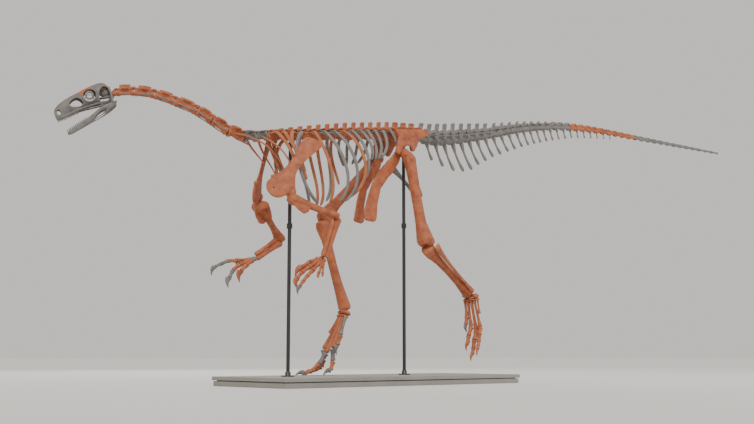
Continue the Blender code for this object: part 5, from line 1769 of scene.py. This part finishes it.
# --------------------------------------------------------------- stand -----
@dataclass
class Stand:
    """Painted board base and the two sprayed steel rods that carry the bones."""

    rod_radius: float = 0.009
    board_thick: float = 0.018
    edge: float = 0.0025
    inset: float = 0.006
    shadow_gap: float = 0.004
    cradle: float = 0.016  # height of the cradle at the rod's top
    clamp_share: float = 0.62  # place of the clamp along the rod
    screw_circle: float = 0.0235
    smooth_angle: float = 38.0
    # Height and radius along the flange, the clamp and a screw's head.
    flange: Table = ((0.0, 0.0315), (0.0002, 0.032), (0.004, 0.032), (0.0052, 0.0312), (0.0056, 0.015),
                     (0.0075, 0.0138), (0.021, 0.0132), (0.0228, 0.012), (0.023, 0.01))
    clamp: Table = ((0.0, 0.0125), (0.001, 0.0135), (0.025, 0.0135), (0.026, 0.0125))
    screw: Table = ((0.0, 0.0032), (0.0016, 0.0032), (0.0022, 0.0026), (0.0023, 0.0014), (0.001, 0.0014))
    prong: Table = ((0.008, 0.002), (0.008, 0.002), (0.0075, 0.0018), (0.006, 0.0014))

    def slab(self, low: Vector, high: Vector, edge: float) -> Shape:
        """A board with eased edges between two corners."""
        clear_selection()
        bpy.ops.mesh.primitive_cube_add(size=1.0, location=ORIGIN)
        board = size_primitive(tuple(high - low), tuple((low + high) / 2.0))
        bpy.ops.object.mode_set(mode="OBJECT")
        return apply_modifier(board, "BEVEL", width=edge, segments=3)

    def plinth(self, finishes: Finishes) -> None:
        """A top board that overhangs a frame with a shadow gap between."""
        low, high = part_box("stand_base")
        step = Vector((self.inset, self.inset, 0.0))
        under = high.z - self.board_thick
        gap = under - self.shadow_gap
        top = self.slab(Vector((low.x, low.y, under)), high, self.edge)
        skirt = self.slab(low + step, Vector((high.x, high.y, gap)) - step, 0.0015)
        neck = self.slab(Vector((low.x, low.y, gap - 0.002)) + step * 3.0,
                         Vector((high.x, high.y, gap + 0.006)) - step * 3.0, 0.0005)
        shapes = [dress(shape, finishes.board) for shape in (top, skirt, neck)]
        board = hand_in("stand_base_board", shapes, ("stand_base",))
        for face in board.data.polygons:
            face.use_smooth = False

    def rod(self, name: str, finishes: Finishes) -> None:
        """One rod: floor flange with screws, boss, height clamp and cradle."""
        low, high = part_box(name)
        middle = (low + high) / 2.0
        size, tall = self.rod_radius, high.z - low.z
        seat_at, clamp_at = tall - self.cradle, self.clamp_share * tall
        flange = draw_shell([(rise, half, half) for rise, half in self.flange], 40)
        bar = draw_shell([(0.003, size, size), (seat_at, size, size),
                          (seat_at + 0.001, size * 0.9, size * 0.9)], 28)
        clamp = draw_shell([(clamp_at + rise, half, half) for rise, half in self.clamp], 28)
        shapes = [flange, bar, clamp]
        screw = draw_shell([(rise, half, half) for rise, half in self.screw], 16)
        for step in range(4):
            angle = math.radians(45.0 + 90.0 * step)
            spot = Vector((self.screw_circle * math.cos(angle), self.screw_circle * math.sin(angle),
                           0.0048))
            shapes.append(move(copy_of(screw), Matrix.Translation(spot)))
        grip = seat(Vector((0.0, -0.0128, clamp_at + 0.013)), X_AXIS * 1.1, Z_AXIS * 1.1, -Y_AXIS * 2.6)
        shapes.append(move(copy_of(screw), grip))
        discard(screw)
        half = 0.5 * (high.x - low.x) * 0.5
        shapes.append(self.slab(Vector((-half, -0.015, seat_at)), Vector((half, 0.015, seat_at + 0.005)),
                                0.0012))
        for sign in (-1, 1):
            path = [(0.0, sign * 0.006, seat_at + 0.003), (0.0, sign * 0.022, seat_at + 0.004),
                    (0.0, sign * 0.029, seat_at + 0.012), (0.0, sign * 0.03, tall + 0.006)]
            shapes.append(soften(sweep(path, self.prong, X_AXIS)))
        laid = Matrix.Translation((middle.x, middle.y, low.z))
        shapes = [dress(move(shape, laid), finishes.steel) for shape in shapes]
        piece = hand_in(name + "_steel", shapes, (name,))
        select_only(piece)
        bpy.ops.object.shade_smooth_by_angle(angle=math.radians(self.smooth_angle))

    def build(self, finishes: Finishes) -> None:
        """Model the base and both rods."""
        self.plinth(finishes)
        self.rod("stand_rod_front", finishes)
        self.rod("stand_rod_rear", finishes)


@dataclass
class Studio:
    """Pale floor, soft lamps and the camera."""

    camera_place: Point = (-3.5684, -4.0547, 0.145)
    camera_turn: Pair = (97.8, -41.5)
    lens: float = 50.0
    sensor: float = 36.0
    sight: float = 200.0  # the farthest that the camera sees
    floor_radius: float = 60.0
    floor_drop: float = 0.0005  # keeps the floor clear of the base's underside
    glow: str = "#E9E7E3"
    glow_strength: float = 0.9

    def lamp(self, name: str, kind: str, place: Point, aim: Point, power: float,
             colour: str) -> bpy.types.Light:
        """Add a lamp that looks at a point, and return its data."""
        data = bpy.data.lights.new(name, kind)
        data.energy, data.color = power, linear(colour)[:3]
        made = add_object(name, data)
        made.location = place
        made.rotation_euler = (Vector(aim) - Vector(place)).to_track_quat("-Z", "Y").to_euler()
        return data

    def build(self, finishes: Finishes) -> None:
        """Make the floor, the sky's even glow, the lamps and the camera."""
        clear_selection()
        bpy.ops.mesh.primitive_circle_add(vertices=96, radius=self.floor_radius, fill_type="NGON",
                                          location=(0.0, 0.0, -self.floor_drop))
        floor = bpy.context.object
        floor.name = "studio_floor"
        dress(floor, finishes.floor)
        world = bpy.data.worlds.new("studio_world")
        world.use_nodes = True
        sky = world.node_tree.nodes["Background"]
        sky.inputs["Color"].default_value = linear(self.glow)
        sky.inputs["Strength"].default_value = self.glow_strength
        bpy.context.scene.world = world
        key = self.lamp("key_lamp", "SUN", (-3.4, -3.6, 4.6), (-0.2, 0.0, 0.9), 2.25, "#FFF8EE")
        key.angle = math.radians(18.0)
        self.lamp("side_lamp", "AREA", (3.6, -4.2, 2.6), (0.4, 0.0, 0.9), 60.0, "#EEF3FF").size = 3.0
        self.lamp("back_lamp", "AREA", (1.6, 4.6, 3.8), (0.0, 0.0, 1.0), 120.0, "#FFFFFF").size = 2.4
        data = bpy.data.cameras.new("camera")
        data.lens, data.sensor_width, data.clip_end = self.lens, self.sensor, self.sight
        camera = add_object("camera", data)
        camera.location = self.camera_place
        tilt, turn = self.camera_turn
        camera.rotation_euler = (math.radians(tilt), 0.0, math.radians(turn))
        bpy.context.scene.camera = camera


def main() -> None:
    """Build every sub-assembly in turn."""
    logging.basicConfig(level=logging.INFO, format="%(name)s %(message)s")
    finishes = Finishes.build()
    bones = BackBone()
    Studio().build(finishes)
    Head(bones.neck()[0]).build(finishes)
    Neck(bones.neck()).build(finishes)
    Trunk(bones.back()).build(finishes)
    Pelvis(bones.sacrum()).build(finishes)
    Tail(bones.tail()).build(finishes)
    patterns = DigitPatterns()
    patterns.build()
    _, base_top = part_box("stand_base")
    for side in Side:
        Arm(side, patterns).build(finishes)
        Leg(side, patterns, base_top.z).build(finishes)
    patterns.finish()
    Stand().build(finishes)


if __name__ == "__main__":
    main()
